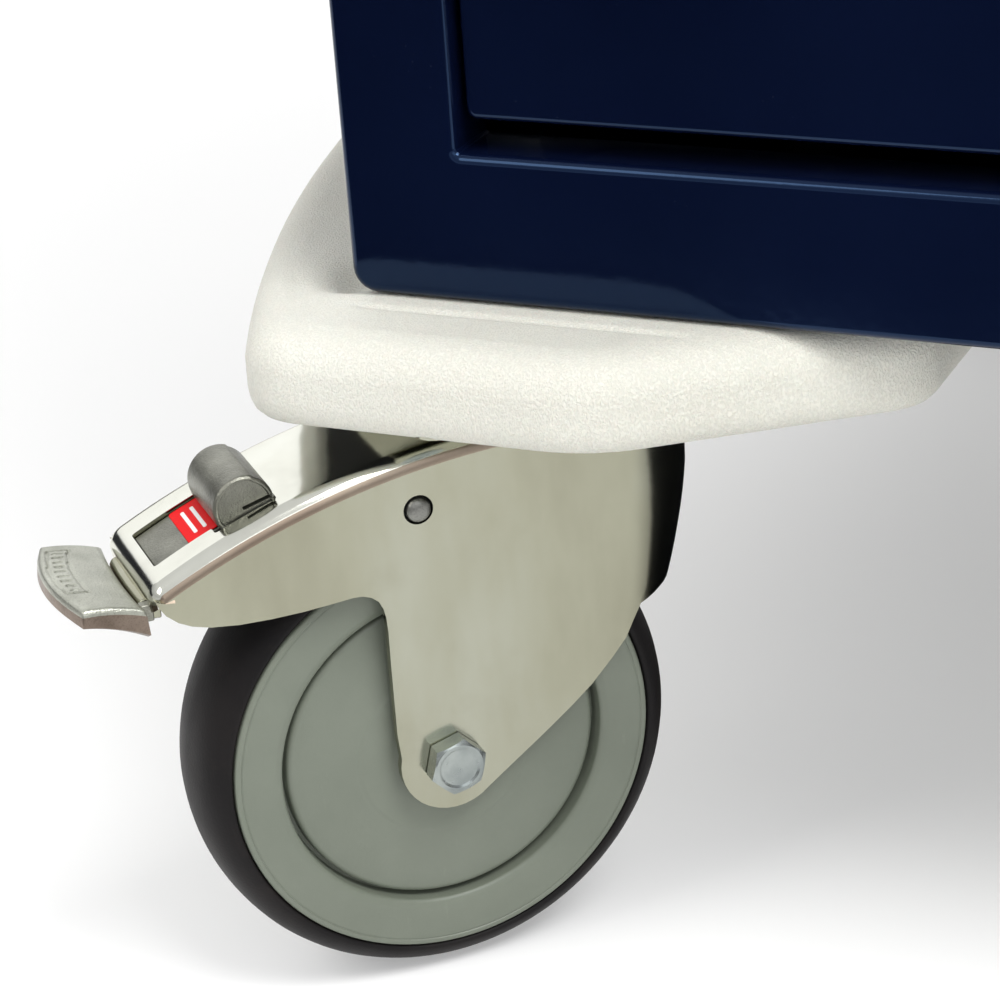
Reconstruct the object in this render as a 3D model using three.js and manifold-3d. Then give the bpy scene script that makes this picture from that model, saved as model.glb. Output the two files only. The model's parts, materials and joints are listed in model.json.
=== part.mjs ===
// Hospital crash cart: a steel cabinet with five drawers on a moulded bumper base and four swivel
// casters, with a work top, push handle, drawer lock, defibrillator shelf, IV pole, cardiac board and
// oxygen bracket. Millimetres, +Z up, the front faces -Y, and the origin is on the floor under the
// middle of the cart's outer box.
import * as THREE from 'three';
import { mergeVertices } from 'three/addons/utils/BufferGeometryUtils.js';
import Module from 'manifold-3d';

const wasm = await Module();
wasm.setup();

// ---------------------------------------------------------------- driving dimensions
const GAP = 0.3; // between faces of neighbouring pieces
const SHEET = 1.5; // steel sheet of the cabinet and drawers

const WHEEL_RADIUS = 62.5;
const WHEEL_HALF_WIDTH = 16;
const RIM_RADIUS = 54.5;
const BOLT_RADIUS = 4;
const FORK_SHEET = 2.5;
const FORK_HALF_WIDTH = 21;
const SWIVEL_TRAIL = 38; // swivel axis to wheel axle
const BRAKE_PIN = { u: 3.3, w: 68.4, radius: 3.1 };
const BRAKE_SLOT = { from: 34, to: 67, half: 10.3 }; // the opening in the arm's top over the brake
const BRAKE_HUMP = { u: 43.6, w: 74.2, radius: 8.1 };
const CROWN = { u: -25, w: -122, radius: 206.8 }; // centre and radius of the arc along the fork's top
const CAP = { radius: 40.6, edge: 42, recess: 3.2 }; // the dished cap inside each wheel face
const KINGPIN_RADIUS = 6;
const RACE_RADIUS = 30;

const BASE = { bottom: 157.5, top: 177.7, overhang: 74, frontY: 266.5, bowRadius: 604, frontInnerX: 232,
  endX: 169, endY: 218.5, cornerDepth: 14, round: 7, frameSetback: 34 };
const CABINET = { halfWidth: 305, halfDepth: 235, bottom: 178, stile: 30, bottomRail: 36.5,
  topRail: 36.2, lipDepth: 18 };
const SWIVEL = { x: 269, y: 208.5 };

const DRAWER_UNIT = 76.2; // drawer heights are whole multiples of this
const DRAWER_UNITS = [1, 1, 2, 2, 3]; // from the top drawer to the bottom one
const DRAWER = { gap: 3, bottomGap: 7.5, sideGap: 1.8, recess: 3.5, frontDepth: 15, trayHalfWidth: 260,
  trayBack: 212, trayLift: 6, trayDrop: 14 };
const RUNNER = { low: 26, height: 20, thickness: 2, channel: 10.6 };

const TOP = { halfWidth: 318, front: -247, back: 235.5, thickness: 24, lip: 14, wall: 16, corner: 34 };
const TUBE_RADIUS = 12.5;
const PULL = { halfWidth: 64, reach: 22, radius: 4.5 };
const LOCK = { x: 305.3, y: -220, z: 893, shaft: 6, reach: 78 };
const POST = { x: 338, y: 185, radius: 15, low: 760, top: 1065 };
const HANDLE = { reach: 72, halfSpan: 120, z: 880, bend: 32, flange: 24 };
const SPIGOT_RADIUS = 10;
const POLE = { x: -336, y: 190, low: 420, top: 1150, clampHeight: 24 };
const ROD = { radius: 9, top: 1215 };
const BOARD = { halfWidth: 286, thickness: 9, low: 294, top: 760, play: 1.5 };
const OXYGEN = { x: -371, y: -40, outer: 64, inner: 59, low: 330, cup: 70, ringLow: 640, ring: 34 };

// ---------------------------------------------------------------- materials
const material = (color, roughness, metalness) =>
  new THREE.MeshStandardMaterial({ color, roughness, metalness });

const navy = material(0x131f3a, 0.25, 0.2);
const cream = material(0xe9e6da, 0.6, 0);
const zinc = material(0xb4b3a2, 0.35, 0.9);
const boltZinc = material(0xc4ccd6, 0.25, 0.9);
const castZinc = material(0xa5a7a0, 0.5, 0.9);
const wheelGrey = material(0x7c827b, 0.55, 0);
const tyreBlack = material(0x2e2d2f, 0.8, 0);
const chrome = material(0xd5d8da, 0.15, 1);
const drawerGrey = material(0xb9bcbc, 0.5, 0.3);
const blackPlastic = material(0x202124, 0.5, 0);
const boardWhite = material(0xe6e8e6, 0.5, 0);

// ---------------------------------------------------------------- solids
function solid(geometry) {
  const bare = geometry.clone();
  bare.deleteAttribute('normal');
  bare.deleteAttribute('uv');
  const merged = mergeVertices(bare, 1e-4);
  return new wasm.Manifold(new wasm.Mesh({
    numProp: 3,
    vertProperties: new Float32Array(merged.attributes.position.array),
    triVerts: new Uint32Array(merged.index.array),
  }));
}

const join = (...solids) => solids.reduce((whole, piece) => whole.add(piece));
const cut = (whole, ...tools) => tools.reduce((rest, tool) => rest.subtract(tool), whole);

function toGeometry(body) {
  const mesh = body.getMesh();
  const geometry = new THREE.BufferGeometry();
  geometry.setAttribute('position', new THREE.BufferAttribute(mesh.vertProperties, 3));
  geometry.setIndex(new THREE.BufferAttribute(mesh.triVerts, 1));
  geometry.computeVertexNormals();
  return geometry;
}

function addPiece(parent, name, body, look) {
  const mesh = new THREE.Mesh(toGeometry(body), look);
  mesh.name = name;
  parent.add(mesh);
}

// A block between two corners.
function block([x0, y0, z0], [x1, y1, z1]) {
  const geometry = new THREE.BoxGeometry(x1 - x0, y1 - y0, z1 - z0);
  return solid(geometry.translate((x0 + x1) / 2, (y0 + y1) / 2, (z0 + z1) / 2));
}

// Cylinders along each axis, from one end to the other.
function rodZ(radius, x, y, z0, z1, segments = 24) {
  const geometry = new THREE.CylinderGeometry(radius, radius, z1 - z0, segments);
  return solid(geometry.rotateX(Math.PI / 2).translate(x, y, (z0 + z1) / 2));
}

function rodY(radius, x, z, y0, y1, segments = 24) {
  const geometry = new THREE.CylinderGeometry(radius, radius, y1 - y0, segments);
  return solid(geometry.translate(x, (y0 + y1) / 2, z));
}

function rodX(radius, y, z, x0, x1, segments = 24) {
  const geometry = new THREE.CylinderGeometry(radius, radius, x1 - x0, segments);
  return solid(geometry.rotateZ(Math.PI / 2).translate((x0 + x1) / 2, y, z));
}

// An outline drawn in X and Y, standing from z0 to z1.
function slab(shape, z0, z1, curveSegments = 8, round = 0) {
  const geometry = new THREE.ExtrudeGeometry(shape, {
    depth: z1 - z0 - 2 * round, curveSegments, bevelEnabled: round > 0, bevelThickness: round,
    bevelSize: round, bevelOffset: -round, bevelSegments: 2,
  });
  return solid(geometry.translate(0, 0, z0 + round));
}

// An outline drawn in X and Z, going from y0 to y1.
function plate(shape, y0, y1, curveSegments = 8) {
  const geometry = new THREE.ExtrudeGeometry(shape, { depth: y1 - y0, curveSegments, bevelEnabled: false });
  return solid(geometry.rotateX(Math.PI / 2).translate(0, y1, 0));
}

function roundedRectangle(x0, y0, x1, y1, radius) {
  const shape = new THREE.Shape();
  shape.absarc(x1 - radius, y0 + radius, radius, -Math.PI / 2, 0);
  shape.absarc(x1 - radius, y1 - radius, radius, 0, Math.PI / 2);
  shape.absarc(x0 + radius, y1 - radius, radius, Math.PI / 2, Math.PI);
  shape.absarc(x0 + radius, y0 + radius, radius, Math.PI, Math.PI * 1.5);
  return shape;
}

// A round bar along a path of straight stretches with rounded bends.
function bentBar(points, bend, radius, sides = 12, bendSteps = 4) {
  const corners = points.map((point) => new THREE.Vector3(...point));
  const path = new THREE.CurvePath();
  let start = corners[0];
  for (let i = 1; i < corners.length - 1; i += 1) {
    const corner = corners[i];
    const before = corner.clone().add(start.clone().sub(corner).setLength(bend));
    const after = corner.clone().add(corners[i + 1].clone().sub(corner).setLength(bend));
    path.add(new THREE.LineCurve3(start, before));
    path.add(new THREE.QuadraticBezierCurve3(before, corner, after));
    start = after;
  }
  path.add(new THREE.LineCurve3(start, corners[corners.length - 1]));
  const stations = path.curves.flatMap((curve) => {
    const steps = curve.isLineCurve3 ? 1 : bendSteps;
    return Array.from({ length: steps }, (_, k) => curve.getPoint(k / steps));
  });
  stations.push(corners[corners.length - 1]);
  return sweep(stations, radius, sides);
}

// A round section carried through a flat run of stations, mitred at each one.
function sweep(stations, radius, sides) {
  const normal = planeNormal(stations);
  const positions = [];
  stations.forEach((station, i) => {
    const next = stations[i + 1] ?? station;
    const previous = stations[i - 1] ?? station;
    const ahead = next === station ? station.clone().sub(previous) : next.clone().sub(station);
    const behind = previous === station ? ahead.clone() : station.clone().sub(previous);
    const tangent = ahead.normalize().add(behind.normalize()).normalize();
    const stretch = 1 / Math.max(tangent.dot(behind), 0.5);
    const side = new THREE.Vector3().crossVectors(normal, tangent).normalize();
    for (let k = 0; k < sides; k += 1) {
      const angle = (2 * Math.PI * k) / sides;
      const point = station.clone()
        .addScaledVector(side, radius * stretch * Math.cos(angle))
        .addScaledVector(normal, radius * Math.sin(angle));
      positions.push(point.toArray());
    }
  });
  return ringSolid(positions, stations.length, sides);
}

function planeNormal(stations) {
  const along = stations[1].clone().sub(stations[0]);
  for (let i = 2; i < stations.length; i += 1) {
    const normal = new THREE.Vector3().crossVectors(along, stations[i].clone().sub(stations[1]));
    if (normal.length() > 1) return normal.normalize();
  }
  return new THREE.Vector3(0, 0, 1);
}

// A closed skin over a row of rings, each with the same number of points, and flat fan ends.
function ringSolid(positions, rings, sides) {
  const index = [];
  for (let r = 0; r < rings - 1; r += 1) {
    for (let k = 0; k < sides; k += 1) {
      const next = (k + 1) % sides;
      const [a, b, c, d] = [r * sides + k, r * sides + next, (r + 1) * sides + next, (r + 1) * sides + k];
      index.push(a, b, c, a, c, d);
    }
  }
  const last = (rings - 1) * sides;
  for (let k = 1; k < sides - 1; k += 1) {
    index.push(0, k + 1, k);
    index.push(last, last + k, last + k + 1);
  }
  const geometry = new THREE.BufferGeometry();
  geometry.setAttribute('position', new THREE.Float32BufferAttribute(positions.flat(), 3));
  geometry.setIndex(index);
  const body = solid(geometry);
  if (body.volume() > 0) return body;
  geometry.setIndex(index.reverse());
  return solid(geometry);
}

// ---------------------------------------------------------------- casters
// A caster is drawn in its own frame: the swivel axis is Z through the origin, the floor is at z = 0 and
// the wheel trails towards +X. Outlines use u and w, measured outwards and upwards from the axle.
const AXLE = { x: SWIVEL_TRAIL, z: WHEEL_RADIUS };
const aboutAxle = (body) => body.translate([AXLE.x, 0, AXLE.z]);
const crownHeight = (u, drop = 0) => CROWN.w + Math.sqrt((CROWN.radius - drop) ** 2 - (u - CROWN.u) ** 2);

// The side view of a fork. A braked fork runs out into a long arm over the wheel.
function forkOutline(braked) {
  const top = CROWN.w + CROWN.radius;
  const shape = new THREE.Shape();
  shape.moveTo(-80, top);
  shape.lineTo(CROWN.u, top);
  if (braked) {
    shape.absarc(CROWN.u, CROWN.w, CROWN.radius, Math.PI / 2, Math.acos((70.5 - CROWN.u) / CROWN.radius), true);
    shape.lineTo(70.5, 59.5);
    shape.quadraticCurveTo(66, 50, 52, 49);
    shape.lineTo(20, 49.2);
    shape.quadraticCurveTo(14, 48.6, 13.7, 40);
  } else {
    shape.lineTo(12, top);
    shape.quadraticCurveTo(24, top, 24, 74);
    shape.quadraticCurveTo(24, 62, 13.7, 40);
  }
  shape.lineTo(13.7, 8);
  shape.absarc(0, 0, 13.5, 0.3, -2.16, true);
  shape.lineTo(-27, 2.8);
  shape.quadraticCurveTo(-46, 16, -53, 30);
  shape.lineTo(-70, 33);
  shape.closePath();
  return shape;
}

// The plan of a fork at each height: straight cheeks closed by a half-elliptical nose, which leans in
// towards the bottom.
function forkPlan(halfWidth, inset, outerEnd) {
  const noseCentre = -48;
  const steps = 8;
  const sides = steps + 3;
  const levels = [-20, 34, 50, CROWN.w + CROWN.radius + 1];
  const positions = [];
  for (const level of levels) {
    const below = Math.max(61.2 - Math.max(level, 34), 0);
    const reach = 73.7 - 0.1 * below - 0.0045 * below * below + noseCentre - inset;
    positions.push([outerEnd, -halfWidth, level]);
    positions.push([outerEnd, halfWidth, level]);
    for (let k = 0; k <= steps; k += 1) {
      const angle = (Math.PI * k) / steps;
      positions.push([noseCentre - reach * Math.sin(angle), halfWidth * Math.cos(angle), level]);
    }
  }
  return ringSolid(positions, levels.length, sides);
}

function fork(braked) {
  const inner = FORK_HALF_WIDTH - FORK_SHEET;
  const outside = forkPlan(FORK_HALF_WIDTH, 0, 75).intersect(plate(forkOutline(braked), -40, 40, 6));
  const room = new THREE.Shape();
  const roof = CROWN.radius - FORK_SHEET;
  const roomEnd = braked ? 68 : 60;
  room.moveTo(-90, -30);
  room.lineTo(roomEnd, -30);
  room.lineTo(roomEnd, crownHeight(roomEnd, FORK_SHEET));
  room.absarc(CROWN.u, CROWN.w, roof, Math.acos((roomEnd - CROWN.u) / roof), Math.PI / 2, false);
  room.lineTo(-90, CROWN.w + roof);
  room.closePath();
  const inside = forkPlan(inner, FORK_SHEET, 90).intersect(plate(room, -40, 40, 6));
  const holes = [
    rodY(BOLT_RADIUS + GAP, 0, 0, -40, 40, 12),
    rodZ(KINGPIN_RADIUS + GAP, -SWIVEL_TRAIL, 0, 60, 100, 12),
  ];
  if (braked) {
    holes.push(rodY(BRAKE_PIN.radius + 0.5, BRAKE_PIN.u, BRAKE_PIN.w, -40, 40, 12));
    holes.push(block([BRAKE_SLOT.from, -BRAKE_SLOT.half, 60], [BRAKE_SLOT.to, BRAKE_SLOT.half, 90]));
  }
  return aboutAxle(cut(outside, inside, ...holes));
}

// The inner lever of the brake: a bar under the arm, a pad and a half-round hump that show through the
// arm's slot, and a foot pedal beyond its end.
function brakeLever() {
  const drop = FORK_SHEET + 0.7;
  const barEnd = BRAKE_SLOT.to - 0.7;
  const bar = new THREE.Shape();
  bar.moveTo(0, 65.2);
  bar.lineTo(3.3, 65.2);
  bar.lineTo(40, 57.5);
  bar.lineTo(60, 52);
  bar.lineTo(barEnd, 50.8);
  bar.lineTo(barEnd, crownHeight(barEnd, drop));
  const barArc = CROWN.radius - drop;
  const barAngle = (u) => Math.acos((u - CROWN.u) / barArc);
  bar.absarc(CROWN.u, CROWN.w, barArc, barAngle(barEnd), barAngle(10));
  bar.lineTo(0, 73);
  bar.closePath();

  const pad = new THREE.Shape();
  const padArc = CROWN.radius - 1;
  const [padStart, padEnd] = [BRAKE_SLOT.from + 1.5, BRAKE_SLOT.to - 1.2];
  const padAngle = (u) => Math.acos((u - CROWN.u) / padArc);
  pad.moveTo(padStart, 62);
  pad.lineTo(padEnd, 57);
  pad.lineTo(padEnd, crownHeight(padEnd, 1));
  pad.absarc(CROWN.u, CROWN.w, padArc, padAngle(padEnd), padAngle(padStart));
  pad.closePath();

  const pedal = new THREE.Shape();
  pedal.moveTo(71.4, 50);
  pedal.lineTo(88, 56);
  pedal.quadraticCurveTo(93, 58, 90, 61.2);
  pedal.lineTo(88, 61.4);
  pedal.lineTo(72.2, 57.4);
  pedal.quadraticCurveTo(71.4, 57, 71.4, 56);
  pedal.closePath();

  const half = FORK_HALF_WIDTH - FORK_SHEET - 2 * GAP;
  const padHalf = BRAKE_SLOT.half - 0.5;
  const body = join(
    plate(bar, -half, half, 4),
    rodY(4.9, BRAKE_PIN.u, BRAKE_PIN.w, -half, half, 12),
    plate(pad, -padHalf, padHalf, 4),
    rodY(BRAKE_HUMP.radius, BRAKE_HUMP.u, BRAKE_HUMP.w, -padHalf, padHalf, 20),
    block([60, -15, 51.5], [75, 15, 55.5]),
    plate(pedal, -FORK_HALF_WIDTH, FORK_HALF_WIDTH, 3),
  );
  return aboutAxle(cut(body, rodY(BRAKE_PIN.radius + GAP, BRAKE_PIN.u, BRAKE_PIN.w, -40, 40, 12)));
}

function lathe(profile, segments = 36) {
  const points = profile.map(([radius, height]) => new THREE.Vector2(radius, height));
  points.push(points[0].clone());
  return solid(new THREE.LatheGeometry(points, segments));
}

// The grey wheel centre: a hub with a dished cap inside a raised rim, the same on both faces.
function wheelCentre() {
  const face = WHEEL_HALF_WIDTH;
  const bore = BOLT_RADIUS + GAP;
  return aboutAxle(lathe([
    [bore, -face + 3], [CAP.radius, -face + CAP.recess], [CAP.edge, -face + 0.6], [RIM_RADIUS, -face],
    [RIM_RADIUS, face], [CAP.edge, face - 0.6], [CAP.radius, face - CAP.recess], [bore, face - 3],
  ], 32));
}

function tyre() {
  const seat = RIM_RADIUS + GAP;
  return aboutAxle(lathe([
    [seat, -15.6], [59.4, -14.4], [61.6, -8.5], [WHEEL_RADIUS, 0], [61.6, 8.5], [59.4, 14.4], [seat, 15.6],
  ], 32));
}

// The axle bolt, with its hexagon head on the outer cheek and its nut on the other.
function axleBolt() {
  const head = FORK_HALF_WIDTH + GAP;
  const hexRadius = 7.5;
  return aboutAxle(join(
    rodY(BOLT_RADIUS, 0, 0, -head - 7, head + 1, 12),
    rodY(hexRadius, 0, 0, head, head + 5, 6),
    rodY(hexRadius, 0, 0, -head - 5, -head, 6),
  ));
}

// The swivel head: a top plate, the ball race housing and the kingpin that holds the fork.
function swivelHead() {
  const forkTop = WHEEL_RADIUS + CROWN.w + CROWN.radius;
  const underFork = forkTop - FORK_SHEET - GAP;
  return join(
    block([-45, -38, BASE.bottom - GAP - 4], [45, 38, BASE.bottom - GAP]),
    rodZ(RACE_RADIUS, 0, 0, forkTop + GAP, BASE.bottom - GAP - 2, 20),
    rodZ(KINGPIN_RADIUS, 0, 0, underFork - 3.5, forkTop + 2, 12),
    rodZ(KINGPIN_RADIUS + 3, 0, 0, underFork - 3.5, underFork, 12),
  );
}

function addCaster(cart, corner, x, y, yaw, braked) {
  const caster = new THREE.Group();
  caster.position.set(x, y, 0);
  caster.rotation.z = THREE.MathUtils.degToRad(yaw);
  cart.add(caster);
  addPiece(caster, `${corner}_swivel_head`, swivelHead(), zinc);
  addPiece(caster, `${corner}_fork`, fork(braked), zinc);
  addPiece(caster, `${corner}_wheel_centre`, wheelCentre(), wheelGrey);
  addPiece(caster, `${corner}_tyre`, tyre(), tyreBlack);
  addPiece(caster, `${corner}_axle_bolt`, axleBolt(), boltZinc);
  if (braked) {
    addPiece(caster, `${corner}_brake_lever`, brakeLever(), castZinc);
    const pin = rodY(BRAKE_PIN.radius, BRAKE_PIN.u, BRAKE_PIN.w, -FORK_HALF_WIDTH, FORK_HALF_WIDTH, 12);
    addPiece(caster, `${corner}_brake_pin`, aboutAxle(pin), boltZinc);
  }
}

// ---------------------------------------------------------------- base
// One side piece of the moulded bumper base. Its outer edge is one long bow, and its front and back
// taper in under the cabinet. side is -1 for the left piece and 1 for the right one.
function baseBumper(side) {
  const centreX = CABINET.halfWidth + BASE.overhang - BASE.bowRadius;
  const cornerY = BASE.frontY - BASE.cornerDepth;
  const sweepAngle = Math.asin(cornerY / BASE.bowRadius);
  const corner = { x: centreX + BASE.bowRadius * Math.cos(sweepAngle), y: cornerY };
  const shape = new THREE.Shape();
  shape.moveTo(BASE.frontInnerX, -BASE.frontY);
  shape.lineTo(corner.x - 10, -BASE.frontY);
  shape.quadraticCurveTo(corner.x - 1, -BASE.frontY, corner.x, -corner.y);
  shape.absarc(centreX, 0, BASE.bowRadius, -sweepAngle, sweepAngle, false);
  shape.quadraticCurveTo(corner.x - 1, BASE.frontY, corner.x - 10, BASE.frontY);
  shape.lineTo(BASE.frontInnerX, BASE.frontY);
  shape.lineTo(BASE.endX, BASE.endY);
  shape.lineTo(BASE.endX, -BASE.endY);
  shape.closePath();
  const body = slab(shape, BASE.bottom, BASE.top, 7, BASE.round);
  return side > 0 ? body : body.mirror([1, 0, 0]);
}

// A folded steel pan that ties the two side pieces together under the cabinet.
function baseFrame() {
  const x = BASE.endX - 1;
  const y = BASE.endY - BASE.frameSetback;
  return cut(
    block([-x, -y, BASE.bottom + 2], [x, y, BASE.top]),
    block([-x + 2, -y + 2, BASE.bottom], [x - 2, y - 2, BASE.top - 2]),
  );
}

// ---------------------------------------------------------------- cabinet
const OPENING = {
  x: CABINET.halfWidth - CABINET.stile,
  low: CABINET.bottom + CABINET.bottomRail,
};
const totalUnits = DRAWER_UNITS.reduce((sum, units) => sum + units, 0);
OPENING.top = OPENING.low + DRAWER.bottomGap + totalUnits * DRAWER_UNIT;
const CABINET_TOP = OPENING.top + CABINET.topRail;

// Each drawer's lowest and highest front edge, from the top drawer down.
const drawerRows = DRAWER_UNITS.map((units, i) => {
  const above = DRAWER_UNITS.slice(0, i).reduce((sum, value) => sum + value, 0);
  const top = OPENING.top - DRAWER.gap - above * DRAWER_UNIT;
  return { low: top - units * DRAWER_UNIT + DRAWER.gap, top };
});

const KEY = { x: 250, z: CABINET_TOP - CABINET.topRail / 2, radius: 8 };

// The welded case: four folded walls and a back, with a face frame whose inner edges turn in.
function cabinetShell() {
  const { halfWidth: w, halfDepth: d, bottom, lipDepth } = CABINET;
  const { x, low, top } = OPENING;
  const shell = cut(
    block([-w, -d, bottom], [w, d, CABINET_TOP]),
    block([-w + SHEET, -d + SHEET, bottom + SHEET], [w - SHEET, d - SHEET, CABINET_TOP - SHEET]),
    block([-x, -d - 1, low], [x, -d + 10, top]),
  );
  const framed = join(
    shell,
    block([-x - SHEET, -d + 1, low - SHEET], [-x, -d + lipDepth, top + SHEET]),
    block([x, -d + 1, low - SHEET], [x + SHEET, -d + lipDepth, top + SHEET]),
    block([-x - SHEET, -d + 1, low - SHEET], [x + SHEET, -d + lipDepth, low]),
    block([-x - SHEET, -d + 1, top], [x + SHEET, -d + lipDepth, top + SHEET]),
  );
  return cut(
    framed,
    rodY(KEY.radius + GAP, KEY.x, KEY.z, -d - 5, -d + 5, 20),
    rodX(LOCK.shaft + GAP, LOCK.y, LOCK.z, w - 5, w + 5, 16),
  );
}

// An inner side panel with one channel for each drawer's runner.
function slidePanel(side) {
  const wall = CABINET.halfWidth - SHEET - GAP;
  const face = DRAWER.trayHalfWidth + RUNNER.thickness + 0.4;
  const panel = face + RUNNER.channel;
  const [front, back] = [-190, 214];
  const [low, top] = [OPENING.low + 3, OPENING.top - 4];
  const section = new THREE.Shape([
    [wall, front], [wall, front + SHEET], [panel + SHEET, front + SHEET], [panel + SHEET, back - SHEET],
    [wall, back - SHEET], [wall, back], [panel, back], [panel, front],
  ].map(([x, y]) => new THREE.Vector2(x, y)));
  const pieces = [slab(section, low, top)];
  for (const row of drawerRows) {
    const [z0, z1] = [row.low + RUNNER.low - 2, row.low + RUNNER.low + RUNNER.height + 2];
    pieces.push(block([face, front + 2, z0], [panel + 0.5, back - 3, z0 + SHEET]));
    pieces.push(block([face, front + 2, z1 - SHEET], [panel + 0.5, back - 3, z1]));
  }
  const body = join(...pieces);
  return side > 0 ? body : body.mirror([1, 0, 0]);
}

// ---------------------------------------------------------------- drawers
const FRONT_FACE = -CABINET.halfDepth + DRAWER.recess;

// A folded pan that closes the opening flush with the row above and below.
function drawerFront(row) {
  const x = OPENING.x - DRAWER.sideGap;
  const back = FRONT_FACE + DRAWER.frontDepth;
  return cut(
    block([-x, FRONT_FACE, row.low], [x, back, row.top]),
    block([-x + SHEET, FRONT_FACE + SHEET, row.low + SHEET], [x - SHEET, back + 1, row.top - SHEET]),
  );
}

// An open tray with a runner on each side, and the lock's strike plate on the right.
function drawerTray(row) {
  const x = DRAWER.trayHalfWidth;
  const front = FRONT_FACE + DRAWER.frontDepth + GAP;
  const [low, top] = [row.low + DRAWER.trayLift, row.top - DRAWER.trayDrop];
  const body = cut(
    block([-x, front, low], [x, DRAWER.trayBack, top]),
    block([-x + SHEET, front + SHEET, low + SHEET], [x - SHEET, DRAWER.trayBack - SHEET, top + 1]),
  );
  const runner = row.low + RUNNER.low;
  const outer = x + RUNNER.thickness;
  return join(
    body,
    block([-outer, front + 3, runner], [-x + 0.5, DRAWER.trayBack - 2, runner + RUNNER.height]),
    block([x - 0.5, front + 3, runner], [outer, DRAWER.trayBack - 2, runner + RUNNER.height]),
    block([x - 0.5, -205, row.low + 9], [x + 10, -202, row.low + 19]),
  );
}

// A bow handle with two feet on the drawer front.
function drawerPull(row) {
  const z = row.top - 34;
  const face = FRONT_FACE - GAP;
  const reach = face - PULL.reach;
  return bentBar([
    [-PULL.halfWidth, face, z], [-PULL.halfWidth, reach, z], [PULL.halfWidth, reach, z],
    [PULL.halfWidth, face, z],
  ], 14, PULL.radius, 8, 3);
}

// ---------------------------------------------------------------- lock
// The breakaway lever hangs on the right side and turns a crank inside the case.
function lockLever() {
  const { x, y, z } = LOCK;
  const arm = roundedRectangle(y - 9, z - LOCK.reach, y + 9, z + 12, 8.9);
  const handle = new THREE.ExtrudeGeometry(arm, { depth: 6, curveSegments: 5, bevelEnabled: false });
  // The outline's two directions become Y and Z.
  handle.applyMatrix4(new THREE.Matrix4().set(0, 0, 1, x, 1, 0, 0, 0, 0, 1, 0, 0, 0, 0, 0, 1));
  return join(
    solid(handle),
    rodX(LOCK.shaft, y, z, x - 7.3, x + 9, 16),
    rodX(LOCK.shaft + 5, y, z, x - 8.1, x - 4.5, 20),
  );
}

// The lock bar rises and puts one finger in front of each drawer's strike plate.
function lockBar() {
  const fingers = drawerRows.map((row) => block([264, -212, row.low + 2], [285, -209, row.low + 6]));
  const [low, top] = [OPENING.low + 1, OPENING.top - 24];
  return join(block([284, -212, low], [296, -209, top]), ...fingers);
}

function keyLock() {
  const front = -CABINET.halfDepth;
  return join(
    rodY(KEY.radius, KEY.x, KEY.z, front - 4, front + 16, 20),
    rodY(KEY.radius + 3, KEY.x, KEY.z, front - 4, front - GAP, 20),
  );
}

// ---------------------------------------------------------------- top
const TOP_LOW = CABINET_TOP + GAP;
const WORK_HEIGHT = TOP_LOW + TOP.thickness;

// The moulded work top, with a raised lip all round.
function workTop() {
  const { halfWidth: x, front, back, corner, lip, wall } = TOP;
  const outer = slab(roundedRectangle(-x, front, x, back, corner), TOP_LOW, WORK_HEIGHT + lip, 4, 5);
  const recess = roundedRectangle(-x + wall, front + wall, x - wall, back - wall, corner - 12);
  return cut(outer, slab(recess, WORK_HEIGHT, WORK_HEIGHT + lip + 5, 4));
}

// ---------------------------------------------------------------- accessories
const RIGHT_SIDE = CABINET.halfWidth + GAP;
const LEFT_SIDE = -CABINET.halfWidth - GAP;
const BACK_SIDE = CABINET.halfDepth + GAP;

function pushHandle() {
  const { halfSpan: half, z, bend, flange } = HANDLE;
  const reach = RIGHT_SIDE + HANDLE.reach;
  return join(
    bentBar([
      [RIGHT_SIDE, -half, z], [reach, -half, z], [reach, half, z], [RIGHT_SIDE, half, z],
    ], bend, TUBE_RADIUS, 12, 3),
    rodX(flange, -half, z, RIGHT_SIDE, RIGHT_SIDE + 5, 20),
    rodX(flange, half, z, RIGHT_SIDE, RIGHT_SIDE + 5, 20),
  );
}

// The post stands on two arms from a plate on the cabinet's right side and ends in a spigot.
function defibPost() {
  const { x, y, radius, low, top } = POST;
  return join(
    block([RIGHT_SIDE, y - 34, low], [RIGHT_SIDE + 4, y + 34, low + 150]),
    block([RIGHT_SIDE, y - 11, low + 12], [x, y + 11, low + 30]),
    block([RIGHT_SIDE, y - 11, low + 120], [x, y + 11, low + 138]),
    rodZ(radius, x, y, low, top),
    rodZ(SPIGOT_RADIUS, x, y, top - 1, top + 18, 20),
  );
}

// The shelf turns on the post's spigot.
function defibShelf() {
  const { x, y, top } = POST;
  const [x0, x1, y0, y1] = [x - 385, x + 22, y - 290, y + 30];
  const plateLow = top + 19;
  const pan = cut(
    slab(roundedRectangle(x0, y0, x1, y1, 22), plateLow, plateLow + 14, 4),
    slab(roundedRectangle(x0 + 2, y0 + 2, x1 - 2, y1 - 2, 20), plateLow + 2, plateLow + 20, 4),
  );
  return cut(
    join(pan, rodZ(20, x, y, top + GAP, plateLow + 1, 28)),
    rodZ(SPIGOT_RADIUS + 0.4, x, y, top, plateLow, 20),
  );
}

function poleBracket() {
  const { x, y, low, clampHeight } = POLE;
  const clamp = (z) => [
    rodZ(TUBE_RADIUS + 5, x, y, z, z + clampHeight, 20),
    block([x, y - 9, z], [LEFT_SIDE, y + 9, z + clampHeight]),
  ];
  const body = join(
    block([LEFT_SIDE - 4, y - 26, low + 30], [LEFT_SIDE, y + 26, low + 480]),
    ...clamp(low + 40),
    ...clamp(low + 440),
  );
  return cut(body, rodZ(TUBE_RADIUS + GAP, x, y, low, low + 500, 20));
}

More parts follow.
